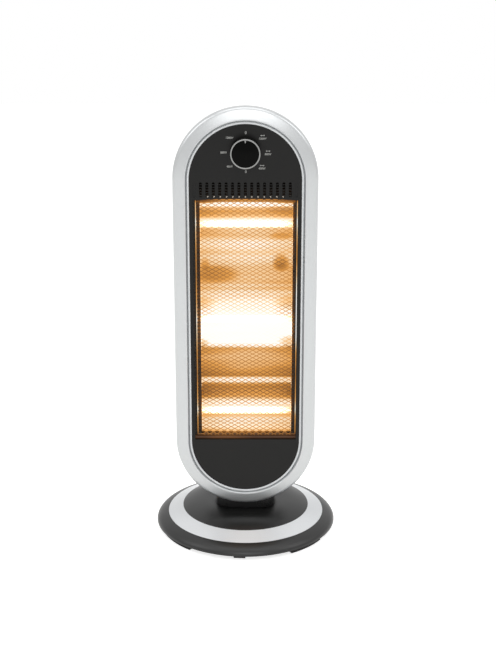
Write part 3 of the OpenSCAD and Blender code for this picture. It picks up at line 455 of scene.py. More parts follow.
def lit(name, heights, reach, droop, base, roughness, metallic, middle=0.0, edge=None,
        dim_spots=(), grain_mm=0.8, depth_mm=0.01):
    """A surface with the lamps' light painted on it as a glow. How bright it is follows its height,
    droops towards both sides, wanders a little, and dips in painted dark reflections where the
    sheet mirrors something dark. An edge gives the distances from the middle between which the
    painted light ends. Each dim spot has its middle, its half width and half height, and how much
    painted light it takes away."""
    material, tree, place = new_material(name)
    axes = add(tree, "ShaderNodeSeparateXYZ", {"Vector": place})
    out = add(tree, MATH, {0: axes.outputs["X"], 1: middle * MM}, operation="SUBTRACT")
    across = add(tree, MATH, {0: out, 1: reach * MM}, operation="DIVIDE")
    square = add(tree, MATH, {0: across, 1: across}, operation="MULTIPLY")
    loss = add(tree, MATH, {0: square, 1: droop}, operation="MULTIPLY")
    painted_glow = add(tree, MATH, {0: painted_glow_of(tree, axes.outputs["Z"], heights), 1: loss},
               operation="SUBTRACT")
    # The streaks in the painted glow are about 80 mm long, 25 mm deep and 9 mm high.
    long_places = add(tree, "ShaderNodeMapping", {"Vector": place, "Scale": (12.0, 40.0, 110.0)})
    streaks = add(tree, NOISE, {"Vector": long_places, "Scale": 1.0, "Detail": 2.0})
    wander = add(tree, RANGE, {"Value": streaks, "From Min": 0.3, "From Max": 0.7,
                               "To Min": -0.04, "To Max": 0.04})
    painted_glow = add(tree, MATH, {0: painted_glow, 1: wander}, operation="ADD")
    for x, z, wide, tall, dip in dim_spots:
        # Its own places: 0 at its middle and 1 at its rim, with depth left out of account.
        spot = add(tree, "ShaderNodeMapping", {
            "Vector": place, "Location": (x * MM, 0.0, z * MM),
            "Scale": (wide * MM, 1000.0, tall * MM)}, vector_type="TEXTURE")
        far = add(tree, "ShaderNodeVectorMath", {0: spot, 1: spot}, operation="DOT_PRODUCT")
        dimmer = add(tree, RANGE, {"Value": far.outputs["Value"], "To Min": dip, "To Max": 0.0},
                     interpolation_type="SMOOTHSTEP")
        painted_glow = add(tree, MATH, {0: painted_glow, 1: dimmer}, operation="SUBTRACT")
    if edge:
        off_middle = add(tree, MATH, {0: out}, operation="ABSOLUTE")
        inside = add(tree, RANGE, {"Value": off_middle, "From Min": edge[0] * MM,
                                   "From Max": edge[1] * MM, "To Min": 1.0, "To Max": 0.0})
        painted_glow = add(tree, MATH, {0: painted_glow, 1: inside}, operation="MULTIPLY")
    grain = add(tree, NOISE, {"Vector": place, "Scale": 1 / (grain_mm * MM), "Detail": 2.0})
    bump = add(tree, BUMP, {"Height": grain, "Distance": depth_mm * MM, "Strength": 0.3})
    finish_material(tree, {
        "Base Color": linear(base), "Metallic": metallic, "Roughness": roughness, "Normal": bump,
        "Emission Color": follow(tree, painted_glow, LAMP_LIGHT, 0.0, 1.1), "Emission Strength": 1.0})
    return material


# Polished aluminium of the reflector. Its troughs throw the lamps forward, and their reflection is
# painted by height: it burns white behind each lamp and falls to amber and brown on the ridges
# between, with painted dark reflections at its dim spots. The lamps outshine what else it
# mirrors, so its own colour is drawn dark.
reflector_glow = lit("polished_aluminium_lit", [
    (0.170, 0.62), (0.174, 0.90), (0.182, 0.96), (0.1855, 0.70), (0.190, 0.84), (0.203, 1.05),
    (0.208, 0.94), (0.2145, 0.56), (0.221, 0.44), (0.232, 0.43), (0.238, 0.58), (0.2415, 1.0),
    (0.2475, 1.0), (0.2515, 0.46), (0.260, 0.52), (0.280, 0.72), (0.296, 0.60), (0.2985, 0.92),
    (0.3015, 1.3), (0.345, 1.3), (0.360, 1.12), (0.374, 1.0), (0.386, 0.92), (0.391, 0.74),
    (0.3955, 0.86), (0.400, 0.72), (0.426, 0.76), (0.441, 0.94), (0.4475, 0.82), (0.452, 0.92),
    (0.463, 0.98), (0.4715, 0.72), (0.480, 0.76), (0.4855, 1.0), (0.494, 1.06), (0.500, 0.70),
    (0.509, 0.56), (0.517, 0.66), (0.5215, 1.1), (0.5295, 1.04)],
    68, 0.15, "#3a2c1c", 0.2, 0.9, 1.5,
    dim_spots=((-42, 414, 40, 17, 0.22), (53, 432, 15, 16, 0.34), (-60, 430, 8, 12, 0.16),
    (52, 470, 20, 7, 0.16), (50, 514, 26, 8, 0.10), (-72, 366, 34, 16, 0.20),
    (74, 366, 38, 18, 0.22), (-70, 304, 20, 9, 0.34), (70, 306, 26, 12, 0.36),
    (-70, 532, 40, 7, 0.7), (74, 532, 50, 7, 0.8)))
# Its lip, the same aluminium, has painted shade between the window's hem and the lit mouth,
# and a painted glow in the middle of the window's upper end.
reflector_shade = lit("shaded_aluminium", [
    (0.164, 0.16), (0.168, 0.24), (0.175, 0.32), (0.200, 0.42), (0.240, 0.36), (0.300, 0.40),
    (0.345, 0.48), (0.372, 0.42), (0.440, 0.36), (0.490, 0.42), (0.524, 0.40), (0.530, 0.50),
    (0.5345, 0.40)],
    68, 0.25, "#1c150e", 0.5, 0.6, 1.5)
# Galvanised sheet of the chassis, with a painted brown glow where the lamps' light reaches it.
chassis_glow = lit("galvanised_steel_lit", [
    (0.165, 0.10), (0.205, 0.16), (0.250, 0.08), (0.300, 0.14), (0.345, 0.24), (0.372, 0.16),
    (0.430, 0.08), (0.494, 0.14), (0.530, 0.06), (0.536, 0.0)],
    90, 0.0, "#8f8a80", 0.5, 0.6, grain_mm=6.0, depth_mm=0.02)
# Rolled hem of the window: a thin pale line of painted lamp light, brightest beside the lamps.
# Its spot has a minus, so that it adds a painted highlight on the right side.
hem_glow = lit("rolled_hem_lit", [
    (0.164, 0.20), (0.169, 0.26), (0.173, 0.40), (0.196, 0.56), (0.208, 0.98), (0.222, 0.60),
    (0.262, 0.34), (0.300, 0.50), (0.330, 0.80), (0.352, 0.98), (0.372, 0.62), (0.420, 0.36),
    (0.462, 0.50), (0.486, 0.72), (0.502, 1.0), (0.512, 0.70), (0.529, 0.66), (0.534, 0.30)],
    90, 0.0, "#3b3427", 0.4, 0.6, grain_mm=2.0,
    dim_spots=((76, 372, 14, 80, -0.5),))
# Enamelled guard frame, brown-black, with a painted lamp glow on its sill.
frame_glow = lit("black_heat_enamel_lit", [
    (0.160, 0.13), (0.166, 0.15), (0.172, 0.08), (0.200, 0.03), (0.520, 0.03), (0.535, 0.0)],
    76, 0.02, "#14100c", 0.5, 0.0, depth_mm=0.02)
# Expanded steel sheet of the guard, dark brown. In front of the lamps a painted glow washes over
# its strands, less at its dim spots.
guard_glow = lit("expanded_steel_painted_glow", [
    (0.166, 0.34), (0.190, 0.50), (0.201, 0.60), (0.206, 0.88), (0.213, 0.88), (0.218, 0.52),
    (0.228, 0.27), (0.251, 0.27), (0.254, 0.50), (0.259, 0.50), (0.262, 0.30), (0.290, 0.38),
    (0.307, 0.38), (0.311, 0.66), (0.315, 1.04), (0.348, 1.08), (0.361, 0.94), (0.373, 0.74),
    (0.386, 0.58), (0.400, 0.46), (0.440, 0.44), (0.450, 0.54), (0.476, 0.54), (0.482, 0.44),
    (0.491, 0.50), (0.496, 0.90), (0.505, 0.90), (0.510, 0.42), (0.521, 0.36), (0.527, 0.52),
    (0.531, 0.36), (0.535, 0.14)],
    74, 0.08, "#33281b", 0.45, 0.7, 1.5, edge=(67.5, 69.5),
    dim_spots=((-42, 423, 38, 18, 0.12), (50, 443, 15, 15, 0.16), (-74, 366, 34, 16, 0.30),
    (74, 366, 38, 18, 0.34), (-70, 315, 20, 9, 0.4), (70, 317, 26, 12, 0.4)))
# Painted glints at the ends of the vent slots, where lamp light leaks up through the panel.
glint_cream = glowing("nylon_edge_in_lamp_light", 7, "#b9ac9c", "#fff4e2", "#2a2622", 0.4, 1.0)
# Tungsten coil at about 2400 K.
filament_glow = glowing("glowing_tungsten", 9, "#ffd79a", "#ffeccb", "#6d6256", 0.5, 4.0)

# Fused quartz, clear. The light inside it makes its wall look milky, up to the ends of the coil.
quartz_clear, tree, place = new_material("fused_quartz_lit")
streak = add(tree, NOISE, {"Vector": place, "Scale": 1 / (6 * MM)})
rough = add(tree, RANGE, {"Value": streak, "To Min": 0.02, "To Max": 0.08})
axes = add(tree, "ShaderNodeSeparateXYZ", {"Vector": place})
off_middle = add(tree, MATH, {0: axes.outputs["X"]}, operation="ABSOLUTE")
fade = add(tree, RANGE, {"Value": off_middle, "From Min": 48 * MM, "From Max": 70 * MM,
                         "To Min": 0.8, "To Max": 0.05})
finish_material(tree, {
    "Base Color": linear("#fff6e2"), "Roughness": rough, "IOR": 1.458,
    "Transmission Weight": 1.0, "Emission Color": linear("#fff3d6"), "Emission Strength": fade})


# ---------- the head ----------

def round_head(name, outline, material, *nodes):
    """An outline carried round the head: spun over its upper arc, drawn down and mirrored."""
    piece = spun(name, [at(out, -front, ARC_UP) for out, front in outline], at(0, 0, ARC_UP),
                 ALONG_Y, turn=180)
    edit(piece)
    pick(piece, "edges", lambda p: p.z < ARC_UP * MM + 1e-5)
    bpy.ops.mesh.extrude_edges_move(TRANSFORM_OT_translate={"value": (0, 0, -ARC_UP * MM)})
    bpy.ops.object.mode_set(mode="OBJECT")
    modify(piece, "MIRROR", use_axis=(False, False, True), merge_threshold=MEETS)
    move(piece, (0, 0, HEAD_MID * MM))
    soften(close_up(piece), 0.25, 2, 40)
    done(piece, material, "head", "silver_trim", *nodes, smooth=40)


band = ([(86.8, 2.4), (87.2, 3.1)] + bow((87.5, 3.25), (100.6, 0.35), 0.08, 6)
        + bend((101.4, 0.1), (105.65, -1.3), (105.93, -6.9), 10))
inner_band = [(x - 0.9, y - 2.6) for x, y in bow((89.2, 3.0), (101.0, 0.3), 0.25, 5)
              + bend((102.0, -0.1), (104.4, -1.6), (104.5, -6.2), 5)][::-1]
round_head("bezel_band", [(84.2, 0.0), (84.6, 0.0), (84.75, -0.5), (85.0, -0.7)] + band
           + [(105.93, -15.9), (103.6, -15.9), (103.6, -9.0)] + inner_band
           + [(88.0, -0.2), (88.0, -3.0), (84.2, -3.0)], silver_paint, "bezel")
# The bead round the panel, which has a paler paint.
round_head("bezel_bead", [(81.7, 0.0)] + bow((81.7, 0.9), (84.55, 0.9), 1.0, 8) + [(84.55, 0.0)],
           pale_silver)

panel = copy_of("front_panel", "panel_face")
# The window's sill is cut down so that the guard frame's lower bar shows.
cut(panel, block("sill", (153.2, 5.4, 10.0), at(0, 2.4, 166.1)))
# At both ends of the row of vent slots is one that doesn't go through.
SLOT_MID, SLOT_HALF, SLOT_ROUND = 550.1, 8.9, 2.1    # height, half its straight part, radius
BLIND_AT, BLIND_DEEP, OVER = 74.0, 1.1, 1.0          # OVER: the cutter starts in front of the face
for x in (-BLIND_AT, BLIND_AT):
    turns = [(side, math.radians(first + 22.5 * k)) for side, first in ((1, 0), (-1, 180))
             for k in range(9)]
    cut(panel, slab("pocket", [
        at(x + SLOT_ROUND * math.cos(turn), -OVER,
           SLOT_MID + side * SLOT_HALF + SLOT_ROUND * math.sin(turn))
        for side, turn in turns], (0, (OVER + BLIND_DEEP) * MM, 0)))
soften(panel, 0.45)
done(panel, panel_nylon, "head", "panel_black", "front_panel")
rear = soften(copy_of("rear_cover", "rear_shell"), 0.6)
done(rear, rear_polypropylene, "head", "rear_black", "rear_cover")
neck = soften(copy_of("neck", "neck_saddle"), 1.2, 3)
done(neck, neck_abs, "head", "neck_black", "neck")
guard = soften(copy_of("guard_frame", "guard_bar"), 0.8, 3)
done(guard, frame_glow, "head", "guard_black", "guard_frame")
chassis = soften(copy_of("chassis", "chassis_tray", whole=False), 0.2, 1)
done(chassis, chassis_glow, "head", "chassis_steel", "chassis")


def ring_plate(name, wide, low, high, edge, back, thick):
    """A flat ring round the window, from its outer size and the width of its edge."""
    plate = begin(name, bpy.ops.mesh.primitive_plane_add, size=1.0, rotation=(QUARTER, 0, 0),
                  location=at(0, back, (low + high) / 2))
    edit(plate)
    bpy.ops.transform.resize(value=(wide * MM, 1, (high - low) * MM))
    bpy.ops.mesh.inset(thickness=edge * MM)
    bpy.ops.mesh.delete(type="FACE")
    bpy.ops.object.mode_set(mode="OBJECT")
    modify(plate, "SOLIDIFY", thickness=thick * MM, offset=-1)
    return close_up(plate)


# Behind the guard, an enamelled plate is put as painted shade over the window's edges. On the mesh
# itself lies the rolled hem of its edge, with painted lamp light on it.
shade = soften(ring_plate("window_shade", 153.4, 164.8, 538.0, 3.6, 9.45, 0.5), 0.15, 1)
done(shade, black_enamel, "head", "chassis_steel")
hem = ring_plate("guard_hem", 149.2, 167.2, 539.0, 1.05, 5.9, 1.2)
move(hem, (SHIFT * MM, 0, 0))
soften(hem, 0.5, 3)
done(hem, hem_glow, "head", "guard_wire")

# Reflector: a folded sheet with a trough behind each lamp and a flat lip round its mouth.
SHEET = 0.9
HALF_MOUTH = 68.0
MOUTH_LOW, MOUTH_HIGH = 170.0, 529.5
MOUTH_BACK, RIDGE_BACK, TROUGH_BACK = 12.0, 31.0, 46.0    # behind the panel's front
TROUGH_HALF = 11.0                                        # half of a trough's flat back
FOLD = 4.0                                                # a fold's curve starts this far off


def trough_line():
    """Depth and height of the sheet, from its top to its bottom, with its folds curved."""
    folds = [(MOUTH_BACK, MOUTH_HIGH)]
    for lamp in sorted(LAMPS.values(), reverse=True):
        folds += [(TROUGH_BACK, lamp + TROUGH_HALF), (TROUGH_BACK, lamp - TROUGH_HALF)]
        if lamp > LAMPS["bottom"]:
            folds.append((RIDGE_BACK, lamp - LAMP_PITCH / 2))
    folds.append((MOUTH_BACK, MOUTH_LOW))
    line = [folds[0]]
    for before, fold, after in zip(folds, folds[1:], folds[2:]):
        back, on = Vector(before) - Vector(fold), Vector(after) - Vector(fold)
        start = Vector(fold) + back.normalized() * FOLD
        end = Vector(fold) + on.normalized() * FOLD
        line += bend(tuple(start), fold, tuple(end), 4)
    return line + [folds[-1]]


sheet = drawn("reflector_sheet", [at(SHIFT - HALF_MOUTH, *spot) for spot in trough_line()],
              closed=False)
bpy.ops.mesh.extrude_edges_move(TRANSFORM_OT_translate={"value": (2 * HALF_MOUTH * MM, 0, 0)})
bpy.ops.object.mode_set(mode="OBJECT")
modify(sheet, "SOLIDIFY", thickness=SHEET * MM, offset=1)
close_up(sheet)
ends = []
for side in (-1, 1):
    outside = SHIFT + side * (HALF_MOUTH + SHEET)
    end = slab("reflector_end", [at(outside, *spot) for spot in trough_line()],
               (-side * SHEET * MM, 0, 0))
    for lamp in LAMPS.values():
        cut(end, begin("lamp_hole", bpy.ops.mesh.primitive_cylinder_add, vertices=48,
                       radius=7 * MM, depth=10 * MM, rotation=(0, QUARTER, 0),
                       location=at(SHIFT + side * HALF_MOUTH, LAMP_BACK, lamp)))
    ends.append(end)
lip = ring_plate("reflector_lip", 2 * HALF_MOUTH + 9.0, 165.5, 534.0, 4.5, 11.5, 0.9)
move(lip, (SHIFT * MM, 0, 0))
soften(lip, 0.2, 2)
done(lip, reflector_shade, "head", "reflector_aluminium")
reflector = joined([sheet] + ends, "reflector_trough")
soften(reflector, 0.15, 1, 50)
done(reflector, reflector_glow, "head", "reflector_aluminium", "reflector")

# Guard: an expanded steel sheet. One bond with the halves of its four strands is copied over
# the window, and the sheet is cropped to its frame.
DIAMOND_W, DIAMOND_H = 10.9, 5.87
BOND_W, BOND_H = 2.1, 1.0
CROP = 1.5 * MM                                           # inside the CAD sheet's border
low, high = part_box("guard_mesh")
bond = begin("guard_sheet", bpy.ops.mesh.primitive_circle_add, vertices=4, radius=MM,
             fill_type="NGON", rotation=(QUARTER, 0, 0))
edit(bond)
bpy.ops.transform.resize(value=(BOND_W / 2, 1, BOND_H / 2))
for way_x, way_z in ((1, 1), (-1, 1), (-1, -1), (1, -1)):
    pick(bond, "edges", lambda p: p.x * way_x > 0 and p.z * way_z > 0 and p.length < 0.8 * MM)
    bpy.ops.mesh.extrude_edges_move(TRANSFORM_OT_translate={
        "value": (way_x * (DIAMOND_W - BOND_W) / 4 * MM, 0, way_z * (DIAMOND_H - BOND_H) / 4 * MM)})
bpy.ops.object.mode_set(mode="OBJECT")
repeat(bond, 2, x=DIAMOND_W / 2, z=DIAMOND_H / 2)
repeat(bond, 16, x=DIAMOND_W)
repeat(bond, 66, z=DIAMOND_H)
move(bond, (-7.5 * DIAMOND_W * MM, low.y + 0.2 * MM, low.z - DIAMOND_H * MM))
edit(bond)
bpy.ops.mesh.remove_doubles(threshold=0.05 * MM)
for spot, way in (((low.x + CROP, 0, 0), (-1, 0, 0)), ((high.x - CROP, 0, 0), ALONG_X),
                  ((0, 0, low.z + CROP), (0, 0, -1)), ((0, 0, high.z - CROP), ALONG_Z)):
    bpy.ops.mesh.select_all(action="SELECT")
    bpy.ops.mesh.bisect(plane_co=spot, plane_no=way, clear_outer=True)
bpy.ops.object.mode_set(mode="OBJECT")
modify(bond, "SOLIDIFY", thickness=0.55 * MM, offset=-1)
close_up(bond)
done(bond, guard_glow, "head", "guard_wire", "guard_mesh", smooth=0)

# ---------- lamps ----------

COIL_TURNS, COIL_PITCH = 70, 2.0
SUPPORTS, SUPPORT_PITCH = 9, 16.0
tube_outline = [(-75, 4.2), (-75, 4.7), (-74.7, 5.0), (74.7, 5.0), (75, 4.7), (75, 4.2)]
cap_outline = [(78, 0), (75.2, 0.6), (75.2, 5.1), (73, 5.1), (73, 6.1), (73.4, 6.5), (80, 6.5),
               (80.4, 6.1), (81.6, 6.1), (82, 6.5), (91.6, 6.5), (92.5, 5.6), (92.5, 0)]
for word, lamp in LAMPS.items():
    middle = at(0, LAMP_BACK, lamp)
    tube = spun("quartz_tube_" + word, [at(x, LAMP_BACK, lamp + out) for x, out in tube_outline],
                middle, ALONG_X, steps=40)
    done(tube, quartz_clear, "head", "quartz", "lamp_tube_" + word)

    wire = begin("coil_wire", bpy.ops.mesh.primitive_circle_add, vertices=6, radius=0.28 * MM,
                 location=(0, 0, 0.9 * MM), rotation=(QUARTER, 0, 0))
    modify(wire, "SCREW", axis="X", screw_offset=COIL_PITCH * MM, iterations=COIL_TURNS,
           steps=10, use_normal_calculate=True)
    move(wire, at(-COIL_TURNS * COIL_PITCH / 2, LAMP_BACK, lamp))
    edit(wire)
    bpy.ops.mesh.fill_holes(sides=0)
    bpy.ops.object.mode_set(mode="OBJECT")
    close_up(wire)
    rings = [begin("support_ring", bpy.ops.mesh.primitive_torus_add, major_radius=3.7 * MM,
                   minor_radius=0.2 * MM, major_segments=28, minor_segments=6,
                   rotation=(0, QUARTER, 0),
                   location=at((k - (SUPPORTS - 1) / 2) * SUPPORT_PITCH, LAMP_BACK, lamp))
             for k in range(SUPPORTS)]
    coil = joined([wire] + rings, "coil_and_supports_" + word)
    done(coil, filament_glow, "head", "filament_tungsten", "lamp_filament_" + word)

    cap = spun("steatite_caps_" + word, [at(x, LAMP_BACK, lamp + out) for x, out in cap_outline],
               middle, ALONG_X, steps=40, closed=False)
    modify(cap, "MIRROR", use_axis=(True, False, False))
    close_up(cap)
    done(cap, steatite, "head", "lamp_ceramic", "lamp_caps_" + word)

# ---------- the dial ----------

knob_outline = ([(0, 1.2), (20.9, 1.2)] + bend((20.9, 1.2), (22.0, 1.2), (22.0, 2.3), 3)
                + [(21.9, 17.2), (19.5, 17.2), (19.5, 18.9)]
                + [(19.4 * t, 19.0 + 0.75 * (1 - t * t))
                   for t in (1.0, 0.9, 0.75, 0.6, 0.45, 0.3, 0.15)] + [(0, 19.75)])
rim_outline = ([(19.6, 17.3), (21.6, 17.3), (21.65, 18.6)]
               + bend((21.65, 18.9), (21.6, 19.6), (21.0, 19.6), 4)
               + [(20.4, 19.6)] + bend((20.1, 19.6), (19.6, 19.6), (19.6, 19.0), 4))
dial = spun("dial_knob", [at(out, -front, KNOB_Z) for out, front in knob_outline],
            at(0, 0, KNOB_Z), ALONG_Y, closed=False)
cut(dial, block("notch", (2.6, 3.0, 5.2), at(0, -19.5, KNOB_Z + 17.2)))
soften(dial, 0.15, 2, 40)
done(dial, knob_abs, "knob", "knob_black", "knob")
rim = spun("dial_rim", [at(out, -front, KNOB_Z) for out, front in rim_outline],
           at(0, 0, KNOB_Z), ALONG_Y)
done(rim, satin_nickel, "knob", "silver_trim", "knob_ring")
pointer = slab("dial_pointer", [
    at(x, -18.0, KNOB_Z + up) for x, up in [(-1.2, 19.3), (-0.5, 15.6), (0.5, 15.6), (1.2, 19.3)]],
    (0, -1.5 * MM, 0))
soften(pointer, 0.15, 1)
done(pointer, satin_nickel, "knob", "silver_trim", "knob_pointer")

INK = 0.04                                                # thickness of the dial's marks


def mark(text, x, z, high, wide):
    """One printed mark of the dial, as a thin sheet of ink on the panel."""
    clear()
    bpy.ops.object.text_add(rotation=(QUARTER, 0, 0))
    letters = bpy.context.object.data
    letters.body = text
    letters.align_x, letters.align_y = "CENTER", "CENTER"
    letters.extrude = INK / 2
    letters.offset = 0.02
    letters.resolution_u = 3
    bpy.ops.object.convert(target="MESH")
    sign = bpy.context.object
    size = sign.dimensions
    bpy.ops.transform.resize(value=(wide * MM / size.x, MM, high * MM / size.y))
    bpy.ops.transform.translate(value=at(x, -INK / 2, z))
    bpy.ops.object.transform_apply(location=True, rotation=True, scale=True)
    return sign


marks = [mark(*line) for line in (
    ("0", 0.6, 633.2, 4.2, 2.6), ("0", 0.6, 576.7, 4.2, 2.6),
    ("1200W", -22.6, 625.8, 3.2, 10.6), ("800W", -31.0, 604.6, 3.2, 9.2),
    ("400W", -22.6, 584.2, 3.2, 8.6), ("1200W", 24.7, 624.6, 3.2, 10.2),
    ("800W", 32.5, 602.2, 3.2, 9.2), ("400W", 24.0, 581.4, 3.2, 10.2))]
half_arrow = [(3.4, 0), (1.7, 1.2), (1.7, 0.4), (-1.7, 0.4), (-1.7, 1.2)]
arrow = half_arrow + [(-a, -b) for a, b in half_arrow]
for x, z in ((24.7, 629.2), (32.5, 606.8), (24.0, 585.8)):
    marks.append(slab("swing_arrow", [at(x + a, -INK, z + b) for a, b in arrow],
                      (0, INK * MM, 0)))
marks = close_up(joined(marks, "dial_marks"))
done(marks, white_ink, "head", "panel_black", smooth=0)

# Behind the vent slots is a screen of thin bars.
SCREEN_HALF = 70.0
bar_outline = ((5.3, 544.2), (5.3, 545.1), (5.6, 545.4), (6.2, 545.1), (6.2, 544.2))
bars = slab("slot_screen", [at(-SCREEN_HALF, *spot) for spot in bar_outline],
            (2 * SCREEN_HALF * MM, 0, 0))
repeat(bars, 5, z=4.0)
done(bars, black_enamel, "head", "panel_black")
# Painted glints: small glowing sills on the slots' lower ends stand for the lamp light that
# catches them. Each glint lies on its slot's round end, a little nearer to the middle of the row
# than the slot's own middle.
SLOTS, SLOT_PITCH, SLOT_FOOT = 13, 9.25, 539.12
GLINT_ROUND, GLINT_TALL, GLINT_DEEP = 2.15, 0.25, 3.4
glints = []
for k in range(SLOTS):
    x, drift = (k - (SLOTS - 1) / 2) * SLOT_PITCH, 1.1 - 1.9 * (k / (SLOTS - 1))
    sag = [(a, GLINT_ROUND - math.sqrt(GLINT_ROUND ** 2 - (a + drift) ** 2))
           for a in (-0.85, -0.5, 0.0, 0.5, 0.85)]
    outline = sag + [(a, b + GLINT_TALL) for a, b in sag[::-1]]
    glints.append(slab("glint", [at(x + drift + a, 0.5, SLOT_FOOT + b) for a, b in outline],
                       (0, GLINT_DEEP * MM, 0)))
glints = joined(glints, "slot_end_glints")
done(glints, glint_cream, "head", "panel_black")

# ---------- the base ----------

BASE_STEPS = 160
cover_outline = ([(137.5, 6.5), (140.0, 7.4)]
                 + bend((140.0, 9.0), (138.8, 16.4), (122.2, 21.5), 14)
                 + [(121.9, 20.4), (98.8, 29.9)]
                 + bend((98.7, 31.1), (78.35, 40.0), (58.0, 40.0), 14)
                 + [(31.0, 40.0), (30.3, 39.3), (30.3, 31.2), (35.8, 31.2), (35.8, 37.5)]
                 + bend((58.0, 37.5), (78.0, 37.4), (98.7, 27.0), 8)
                 + bend((121.0, 17.5), (133.5, 12.3), (137.5, 6.5), 6)[:-1])
ring_outline = ([(121.6, 20.5), (121.9, 21.3)] + bow((121.8, 21.6), (99.0, 30.9), 0.12, 6)
                + [(98.7, 30.9), (98.8, 30.1)])
cover = spun("base_dome", [Vector((out * MM, 0, up * MM)) for out, up in cover_outline],
             (0, 0, 0), ALONG_Z, steps=BASE_STEPS)
# The way out for the lead, at the back.
cut(cover, begin("lead_way", bpy.ops.mesh.primitive_cylinder_add, vertices=40, radius=5.7 * MM,
                 depth=60 * MM, location=(0, 130 * MM, 12 * MM), rotation=(QUARTER, 0, 0)))
soften(cover, 0.3, 2, 38)
done(cover, base_abs, "base", "base_gloss", "base_cover")
silver_ring = spun("base_trim_ring", [Vector((out * MM, 0, up * MM)) for out, up in ring_outline],
                   (0, 0, 0), ALONG_Z, steps=BASE_STEPS)
done(silver_ring, pale_silver, "base", "silver_trim", "base_ring")

# What has its shape from the CAD: a clean copy with its edges rounded.
for node, name, width, material, body, slot in (
        ("base_plate", "bottom_tray", 0.4, tray_polypropylene, "base", "base_tray"),
        ("foot_front_left", "foot_a", 0.35, foot_rubber, "base", "rubber_feet"),
        ("foot_front_right", "foot_b", 0.35, foot_rubber, "base", "rubber_feet"),
        ("foot_rear_left", "foot_c", 0.35, foot_rubber, "base", "rubber_feet"),
        ("foot_rear_right", "foot_d", 0.35, foot_rubber, "base", "rubber_feet"),
        ("ballast_ring", "ballast_casting", 0.5, cast_iron, "base", "ballast_iron"),
        ("cord_gland", "lead_gland", 0.3, gland_nylon, "base", "gland_nylon"),
        ("slide_ring", "neck_slide_ring", 0.2, gland_nylon, "base", "slide_acetal"),
        ("tip_pad", "tip_over_pad", 0.5, tray_polypropylene, "tip_pad", "pad_black"),
        ("tip_switch", "tip_over_switch", 0.3, black_thermoset, "base", "switch_case"),
        ("swing_motor", "swing_gearmotor", 0.5, zinc_plate, "base", "motor_zinc"),
        ("swing_crank", "swing_arm", 0.4, white_acetal, "crank", "slide_acetal"),
        ("drive_lever", "slotted_lever", 0.3, zinc_plate, "head", "motor_zinc"),
        ("thermal_cutout", "cutout_case", 0.3, brown_phenolic, "head", "cutout_body"),
        ("terminal_block", "terminal_strip", 0.35, pale_nylon, "head", "terminal_nylon"),
        ("switch_body", "rotary_switch", 0.4, cream_pbt, "head", "switch_pbt"),
        ("switch_shaft", "switch_spindle", 0.2, cream_pbt, "knob", "switch_pbt")):
    done(soften(copy_of(node, name), width), material, body, slot, node)

CROSS_LONG, CROSS_WIDE, CROSS_TALL = 3.2, 0.8, 2.0        # CROSS_TALL is half sunk in the head
for node in ("base_screws", "motor_screws", "neck_screws", "lever_screws", "case_screws",
             "panel_screws", "chassis_screws", "switch_screws"):
    body = "base" if node in ("base_screws", "motor_screws") else "head"
    screws = soften(copy_of(node, node + "_set"), 0.25)
    if node in ("base_screws", "case_screws"):
        # These can be seen, so a cross is cut into each head. The heads face down in the base
        # and backwards in the case.
        down = body == "base"
        way = Vector((0, 0, -1) if down else ALONG_Y)
        heads = [face.center.copy() for face in screws.data.polygons if face.normal.dot(way) > 0.99]
        for x, other in ((CROSS_LONG, CROSS_WIDE), (CROSS_WIDE, CROSS_LONG)):
            size = (x, other, CROSS_TALL) if down else (x, CROSS_TALL, other)
            cut(screws, joined([block("bar", size, spot) for spot in heads], "bars"))
    done(screws, zinc_plate, body, "screw_steel", node)

# ---------- floor, lights, world, camera ----------

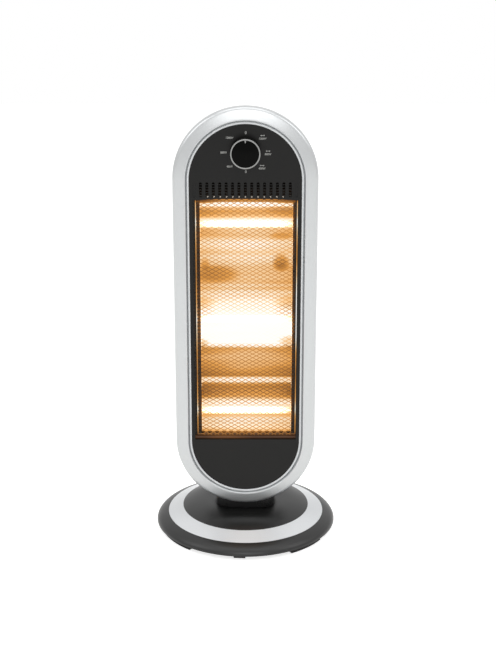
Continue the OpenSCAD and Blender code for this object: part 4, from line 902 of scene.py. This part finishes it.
# Backdrop paper with fibres of about 5 mm, larger than real ones so that they show. It looks
# white to the camera and in mirrors, and lights nothing itself.
floor_paper, tree, place = new_material("white_backdrop_paper")
fibre = add(tree, NOISE, {"Vector": place, "Scale": 220.0, "Detail": 3.0})
colour = add(tree, MIX, {0: fibre, 6: linear("#d9d9d7"), 7: linear("#dededc")}, data_type="RGBA")
ray = add(tree, "ShaderNodeLightPath", {})
seen = add(tree, MATH, {0: ray.outputs["Is Camera Ray"], 1: ray.outputs["Is Glossy Ray"]},
           operation="MAXIMUM")
glow = add(tree, MATH, {0: seen, 1: 0.72}, operation="MULTIPLY")
finish_material(tree, {"Base Color": colour.outputs[2], "Roughness": 0.9,
                       "Emission Color": linear("#ffffff"), "Emission Strength": glow})
clear()
bpy.ops.mesh.primitive_plane_add(size=8.0, location=(0, 0, 0))
floor = bpy.context.object
floor.name = "floor"
floor.data.materials.append(floor_paper)
floor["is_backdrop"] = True

for name, place, aim, size, power in (("front", (0.12, -3.0, 2.15), (0, 0, 0.4), 1.9, 25),
                                      ("left", (-2.2, -0.6, 2.4), (0, 0, 0.3), 1.8, 15),
                                      ("right", (2.2, -0.6, 2.4), (0, 0, 0.3), 1.8, 15),
                                      ("top", (0, 0.2, 2.8), (0, 0, 0.3), 2.2, 18)):
    clear()
    bpy.ops.object.light_add(type="AREA", location=place)
    light = bpy.context.object
    light.name = name
    light.data.size = size
    light.data.energy = power
    light.rotation_euler = (Vector(aim) - Vector(place)).to_track_quat("-Z", "Y").to_euler()

# White all round where it is seen or mirrored, and dimmer as a light.
world = bpy.data.worlds.new("white_studio")
bpy.context.scene.world = world
world.use_nodes = True
tree = world.node_tree
tree.nodes.clear()
ray = add(tree, "ShaderNodeLightPath", {})
seen = add(tree, MATH, {0: ray.outputs["Is Camera Ray"], 1: ray.outputs["Is Glossy Ray"]},
           operation="MAXIMUM")
seen = add(tree, MATH, {0: seen, 1: ray.outputs["Is Transmission Ray"]}, operation="MAXIMUM")
strength = add(tree, RANGE, {"Value": seen, "To Min": 0.6, "To Max": 1.0})
background = add(tree, "ShaderNodeBackground", {"Color": linear("#ffffff"), "Strength": strength})
add(tree, "ShaderNodeOutputWorld", {"Surface": background})

# The photo's camera, solved from the ellipses of the base and the outline of the head.
clear()
bpy.ops.object.camera_add(location=(0.0046, -2.0893, 1.0117),
                          rotation=(math.radians(71.605), 0, math.radians(0.022)))
camera = bpy.context.object
camera.data.sensor_width = 36
camera.data.lens = 78.14
bpy.context.scene.camera = camera
bpy.context.scene.view_settings.view_transform = "Standard"

low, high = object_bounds()
